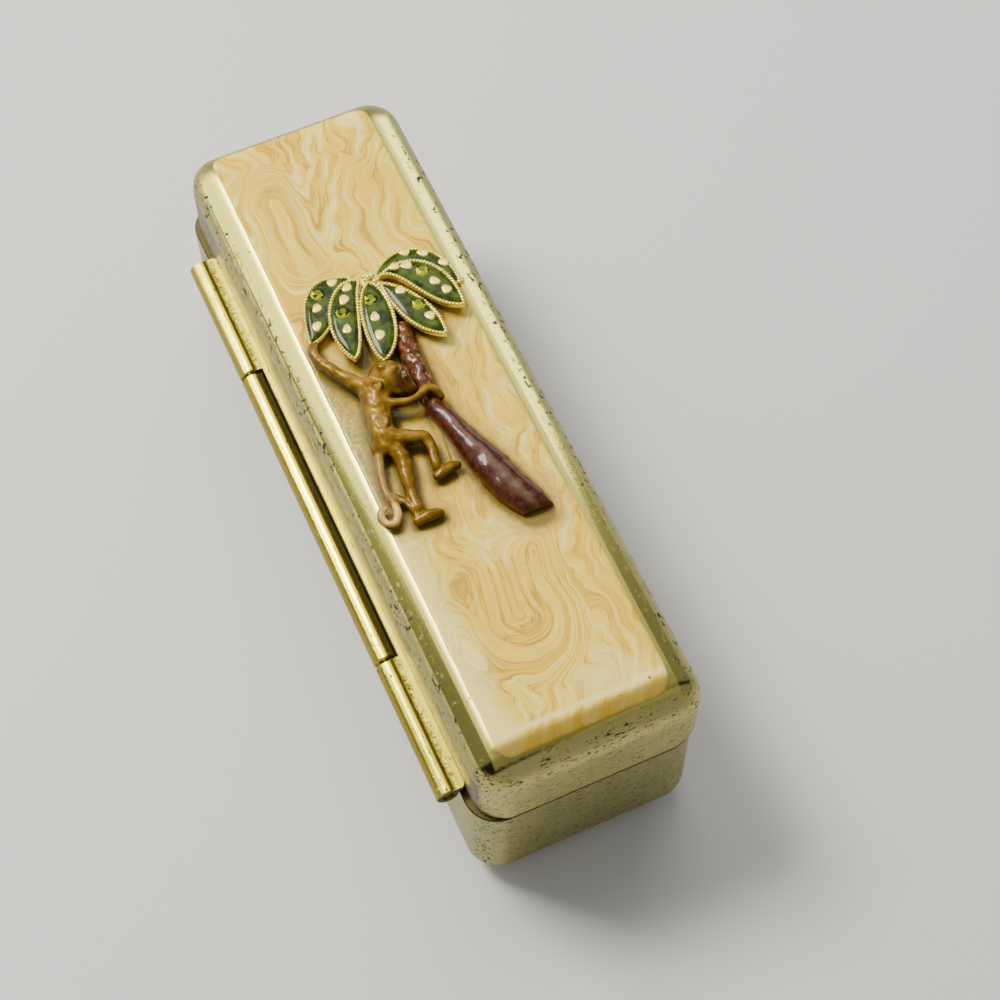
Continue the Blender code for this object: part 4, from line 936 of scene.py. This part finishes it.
def add_bead(bm, centre, radii):
    place = Matrix.Translation(Vector(centre) * MM) @ Matrix.Diagonal((*radii, 1.0))
    bmesh.ops.create_icosphere(bm, subdivisions=2, radius=MM, matrix=place)


def add_milgrain(bm, frond, chance):
    """A line of small beads along the middle of a frond's rim."""
    rim = FROND_RIM[frond.layer]
    radius = BEAD_RADIUS[frond.layer]
    path = frond_ring(frond, 0.42 * rim)
    path.append(path[0])
    carried = 0.0
    for (ax, ay, af), (bx, by, bf) in zip(path, path[1:]):
        span = hypot(bx - ax, by - ay)
        while carried < span:
            share = carried / span
            size = radius * chance.uniform(0.85, 1.12)
            height = frond_top(frond, af + (bf - af) * share)
            add_bead(bm, (ax + (bx - ax) * share, ay + (by - ay) * share, height - 0.25 * size),
                     (size, size, 0.8 * size))
            carried += BEAD_SPACING
        carried -= span


def add_gold_dot(bm, frond, place, chance):
    """A flat polished island of the casting that shows through the enamel."""
    fraction = nearest_fraction(frond, place)
    along = frond_pair(frond, clamp(fraction + 0.05))[0] - frond_pair(frond, clamp(fraction - 0.05))[0]
    angle = atan2(along.y, along.x)
    long_radius, short_radius = chance.uniform(0.58, 0.7), chance.uniform(0.48, 0.56)
    height = frond_top(frond, fraction) + 0.12
    rings = []
    for grow, lift in ((1.0, -0.3), (1.0, 0.0), (0.9, 0.06), (0.75, 0.08)):
        ring = []
        for step in range(14):
            turn = 2.0 * pi * step / 14
            wobble = 1.0 + 0.1 * sin(3.0 * turn + place[0])
            u = long_radius * grow * wobble * cos(turn)
            v = short_radius * grow * wobble * sin(turn)
            ring.append((place[0] + u * cos(angle) - v * sin(angle),
                         place[1] + u * sin(angle) + v * cos(angle), height + lift))
        rings.append(ring)
    merge(bm, loft(rings))


def nearest_fraction(frond, place):
    target = Vector(place)
    return min((step / 60 for step in range(61)),
               key=lambda fraction: (frond_pair(frond, fraction)[0] - target).length)


def make_crown(material):
    """One casting: six fronds with beaded rims, the gold islands in their enamel and the nub at the hub."""
    chance = random.Random(4)
    bm = bmesh.new()
    for frond in FRONDS:
        rim = FROND_RIM[frond.layer]
        merge(bm, frond_loft(frond, ((0.8, -3.0), (0.55, -1.2), (0.12, -0.85), (0.0, -0.6), (0.0, -0.12),
                                     (0.06, -0.02), (0.5 * rim, 0.02), (rim - 0.05, -0.02),
                                     (rim, -0.08), (rim + 0.02, -0.4))))
        add_milgrain(bm, frond, chance)
        for dot in frond.dots:
            add_gold_dot(bm, frond, dot, chance)
    for _ in range(16):
        x, y = HUB[0] + chance.uniform(-0.75, 0.9), HUB[1] + chance.uniform(-0.5, 0.5)
        size = chance.uniform(0.22, 0.4)
        add_bead(bm, (x, y, HUB_TOP_Z + 0.05 + chance.uniform(-0.3, 0.25)), (size,) * 3)
    for _ in range(7):
        size = chance.uniform(0.2, 0.32)
        add_bead(bm, (SIDE_NUB[0] + chance.uniform(-0.4, 0.4), SIDE_NUB[1] + chance.uniform(-0.3, 0.3),
                      28.4 + chance.uniform(-0.2, 0.2)), (size,) * 3)
    hub = bmesh.new()
    place = Matrix.Translation(Vector((*HUB, 0.5 * (ORNAMENT_Z + HUB_TOP_Z))) * MM)
    bmesh.ops.create_cone(hub, cap_ends=True, segments=24, radius1=1.3 * MM, radius2=1.0 * MM,
                          depth=(HUB_TOP_Z - ORNAMENT_Z) * MM, matrix=place)
    merge(bm, hub)
    add_piece("crown_casting", bm, material, ("lid", "bright_gold", "palm_crown"), 45)


def make_frond_glazes(material):
    for number, frond in enumerate(FRONDS, start=1):
        rim = FROND_RIM[frond.layer]
        widest = max(frond_pair(frond, step / 20)[1].length for step in range(21))
        levels = [(rim - 0.06, -0.3), (rim - 0.04, -0.04), (rim + 0.1, 0.0)]
        inset = rim + 0.25
        while inset < widest - 0.2:
            levels.append((inset, 0.17 * (1.0 - exp(-(inset - rim) / 0.5))))
            inset += 0.3
        add_piece(f"frond_glaze_{number}", frond_loft(frond, levels), material,
                  ("lid", "green_enamel", f"frond_enamel_{number}"))


def make_stones(material):
    """Round-cut stones: a flat table with two tiers of facets round it."""
    for number, frond in enumerate(FRONDS, start=1):
        if frond.stone is None:
            continue
        top = frond_top(frond, nearest_fraction(frond, frond.stone))
        rings = []
        for share, lift, shift in STONE_TIERS:
            radius = STONE_RADIUS * share
            turns = [2.0 * pi * (step + shift) / 8 for step in range(8)]
            rings.append([(frond.stone[0] + radius * cos(turn), frond.stone[1] + radius * sin(turn),
                           top + lift) for turn in turns])
        stands_for = ("lid", "crystal", f"crystal_{number}")
        mesh = add_piece(f"stone_{number}", loft(rings), material, stands_for, 5)
        chance = random.Random(20 + number)
        mark(mesh, "facet", [glint(polygon.normal, chance) for polygon in mesh.polygons], 'FACE')


def glint(normal, chance):
    """Painted glints: facets that lean to the near end are more often painted bright, and the table stays
    dark.
    """
    bright = chance.random() < 0.3 + (0.5 * normal.y - normal.x)
    return 0.12 if normal.z > 0.97 else (1.0 if bright else 0.05)


def spline_points(stations, steps):
    """A curve through the stations, with steps points to each pair (Catmull-Rom)."""
    points = [Vector(station) for station in stations]
    path = []
    for index in range(len(points) - 1):
        before = points[max(index - 1, 0)]
        start, end = points[index], points[index + 1]
        after = points[min(index + 2, len(points) - 1)]
        for step in range(steps):
            t = step / steps
            path.append(0.5 * (2 * start + (end - before) * t
                               + (2 * before - 5 * start + 4 * end - after) * t ** 2
                               + (3 * start - before - 3 * end + after) * t ** 3))
    return path + [points[-1]]


TRUNK_SECTION = 28
TRUNK_END_SLANT = 0.85


def make_trunk(material):
    """A glossy trunk with a broad ridge below and knobbly bark above."""
    rings, ridges = [], []
    path = spline_points(TRUNK, 8)
    for index, (x, y, half, top) in enumerate(path):
        behind, ahead = path[max(index - 1, 0)], path[min(index + 1, len(path) - 1)]
        along = Vector((ahead[0] - behind[0], ahead[1] - behind[1])).normalized()
        across = Vector((along.y, -along.x))
        bark = clamp((x + 1.5) / 1.5)
        ring = []
        for step in range(TRUNK_SECTION + 1):
            turn = pi * step / TRUNK_SECTION
            side, rise = cos(turn), sin(turn) ** 0.8
            flat = 0.86 + 0.14 * min(rise * 1.1, 1.0)
            lump = noise.noise(Vector((0.9 * x, 1.2 * side, rise))) * (0.12 + 0.22 * bark)
            edge = 0.16 * max(side, 0.0) * sin(4.2 * x) * (1.0 - bark) * (1.0 - rise)
            reach = half * side * flat * (1.0 + 0.3 * lump) + edge
            height = top * rise * (1.0 + lump * 0.5)
            ahead_by = TRUNK_END_SLANT * side * clamp((-12.0 - x) / 4.0)
            ring.append((x - across.x * reach + along.x * ahead_by,
                         y - across.y * reach + along.y * ahead_by, ORNAMENT_Z + height))
            ridges.append(exp(-((side + 0.05) / 0.2) ** 4))
        rings.append(ring)
    mesh = add_piece("trunk_casting", loft(rings), material, ("lid", "brown_enamel", "palm_trunk"), 60)
    mark(mesh, "ridge", ridges)


# -------------------- monkey

def add_ball(bm, x, y, z, radius):
    """A ball in millimetres, which the remesh works in."""
    place = Matrix.Translation((x, y, z))
    bmesh.ops.create_icosphere(bm, subdivisions=2, radius=radius, matrix=place)


def make_monkey(material):
    """Blended from chains of balls, then smoothed to the soft form of a thickly enamelled casting."""
    bm = bmesh.new()
    for chain in (TORSO, HEAD, NECK, MUZZLE, *LIMBS.values()):
        for x, y, z, radius in spline_points(chain, 12):
            add_ball(bm, x, y, ORNAMENT_Z + z, radius)
    for x, y, z, radius in BODY_BUMPS:
        add_ball(bm, x, y, ORNAMENT_Z + z - 0.12, radius)
    for x, y, z, radius in FACE_BEADS:
        add_ball(bm, x, y, ORNAMENT_Z + z, radius)
    for x, y, z in BODY_RINGS:
        for step in range(16):
            turn = 2.0 * pi * step / 16
            add_ball(bm, x + 0.55 * cos(turn), y + 0.55 * sin(turn), ORNAMENT_Z + z, 0.26)
    holder = place_object("monkey_balls", mesh_from("monkey_balls", bm))
    remesh = holder.modifiers.new("blend", 'REMESH')
    remesh.mode = 'VOXEL'
    remesh.voxel_size = MONKEY_VOXEL
    smooth = holder.modifiers.new("soften", 'SMOOTH')
    smooth.factor = 0.5
    smooth.iterations = 5
    evaluated = holder.evaluated_get(bpy.context.evaluated_depsgraph_get())
    solid = bmesh.new()
    solid.from_mesh(evaluated.to_mesh())
    bpy.data.objects.remove(holder, do_unlink=True)
    solid.normal_update()
    for vertex in solid.verts:
        vertex.co += vertex.normal * (MONKEY_RIPPLE * noise.noise(vertex.co * 1.1))
        vertex.co.z = max(vertex.co.z, ORNAMENT_Z)
    bmesh.ops.scale(solid, vec=(MM,) * 3, verts=solid.verts)
    mark_monkey(add_piece("monkey_casting", solid, material, ("lid", "amber_enamel", "monkey")))


def mark_monkey(mesh):
    """Crests for the thin enamel and for painted light on upward-facing parts, dark enamel over the face
    and pale enamel on the tail and its curl.
    """
    crest, dark, pale = [], [], []
    for vertex in mesh.vertices:
        height = min((vertex.co.z / MM - ORNAMENT_Z) / 2.2, 1.0)
        # Painted light: the crest grows as a point faces up, as well as with its height.
        crest.append(0.65 * max(vertex.normal.z, 0.0) + 0.35 * height)
        place = Vector((vertex.co.x / MM, vertex.co.y / MM))
        ragged = 0.5 * noise.noise(Vector((place.x, place.y, 1.0)))
        dark.append(0.9 * clamp((1.75 - (place - Vector(FACE)).length + ragged) / 0.6))
        on_curl = clamp((1.5 - (place - Vector(CURL)).length) / 0.5)
        on_tail = clamp((0.3 - strip_distance(place, TAIL_STRIP)) / 0.4)
        pale.append(max(0.8 * on_curl, 0.22 * on_tail))
    mark(mesh, "crest", crest)
    mark(mesh, "dark", dark)
    mark(mesh, "pale", pale)


# -------------------- stage

def make_camera():
    data = bpy.data.cameras.new("camera")
    data.sensor_width = CAMERA_SENSOR
    data.lens = CAMERA_LENS
    data.clip_start = 0.01
    camera = place_object("camera", data)
    camera.location = Vector(CAMERA_PLACE) * MM
    look = (Vector(CAMERA_AIM) * MM - camera.location).to_track_quat('-Z', 'Y')
    roll = Matrix.Rotation(CAMERA_ROLL, 4, 'Z')
    camera.rotation_euler = (look.to_matrix().to_4x4() @ roll).to_euler()
    bpy.context.scene.camera = camera


def area_light(name, place, size, power, colour):
    data = bpy.data.lights.new(name, 'AREA')
    data.shape = 'RECTANGLE'
    data.size, data.size_y = size
    data.energy = power
    data.color = colour
    light = place_object(name, data)
    light.location = place
    light.rotation_euler = (Vector(LIGHT_AIM) - light.location).to_track_quat('-Z', 'Y').to_euler()


def make_lights():
    area_light("key", (0.27, 0.19, 0.50), (0.2, 0.2), 4.4, (1.0, 0.96, 0.89))
    area_light("top_box", (0.26, -0.12, 0.52), (0.34, 0.34), 0.95, (1.0, 0.97, 0.91))
    area_light("left_box", (0.51, 0.41, 0.38), (0.4, 0.5), 1.15, (1.0, 0.98, 0.94))
    area_light("right_box", (0.37, -0.48, 0.16), (0.26, 0.22), 0.5, (1.0, 0.98, 0.94))
    world = bpy.data.worlds.new("studio")
    bpy.context.scene.world = world
    world.use_nodes = True
    inputs = world.node_tree.nodes["Background"].inputs
    inputs["Color"].default_value = (1.0, 1.0, 1.0, 1.0)
    inputs["Strength"].default_value = WORLD_LIGHT


def make_floor():
    bm = bmesh.new()
    bmesh.ops.create_grid(bm, x_segments=2, y_segments=2, size=FLOOR_HALF_WIDTH)
    floor = place_object("floor", mesh_from("floor", bm))
    floor.location.z = FLOOR_Z
    floor.data.materials.append(Look("floor", FLOOR_GREY).done(Roughness=0.6))


def dress(material, *names):
    """Gives CAD nodes that are carried over their look."""
    for name in names:
        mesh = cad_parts[name].data
        mesh.materials.clear()
        mesh.materials.append(material)


def main():
    gold = plain_gold_look("inner_gold", (0.8, 0.66, 0.32), 0.16)
    dress(hinge_gold_look(), "base_hinge_leaf", "lid_hinge_leaf")
    dress(gold, "base_bezel", "lid_bezel", "catch_keeper", "catch_rivet_1", "catch_rivet_2")
    dress(plain_gold_look("pin_gold", (0.16, 0.12, 0.05), 0.25), "hinge_pin")
    dress(steel_look(), "catch_spring")
    dress(mirror_look(), "mirror_glass")
    dress(pad_look(), "mirror_pad")
    dress(flock_look(), "tray_liner")
    make_base_case(WornGold("worn_gold", BASE_END_GOLD).finished())
    make_lid_case(lid_gold_look())
    make_enamel_plate(marbled_enamel_look())
    make_crown(ornament_gold_look())
    make_frond_glazes(green_enamel_look())
    make_stones(crystal_look())
    make_trunk(brown_enamel_look())
    make_monkey(amber_enamel_look())
    make_camera()
    make_lights()
    make_floor()


main()
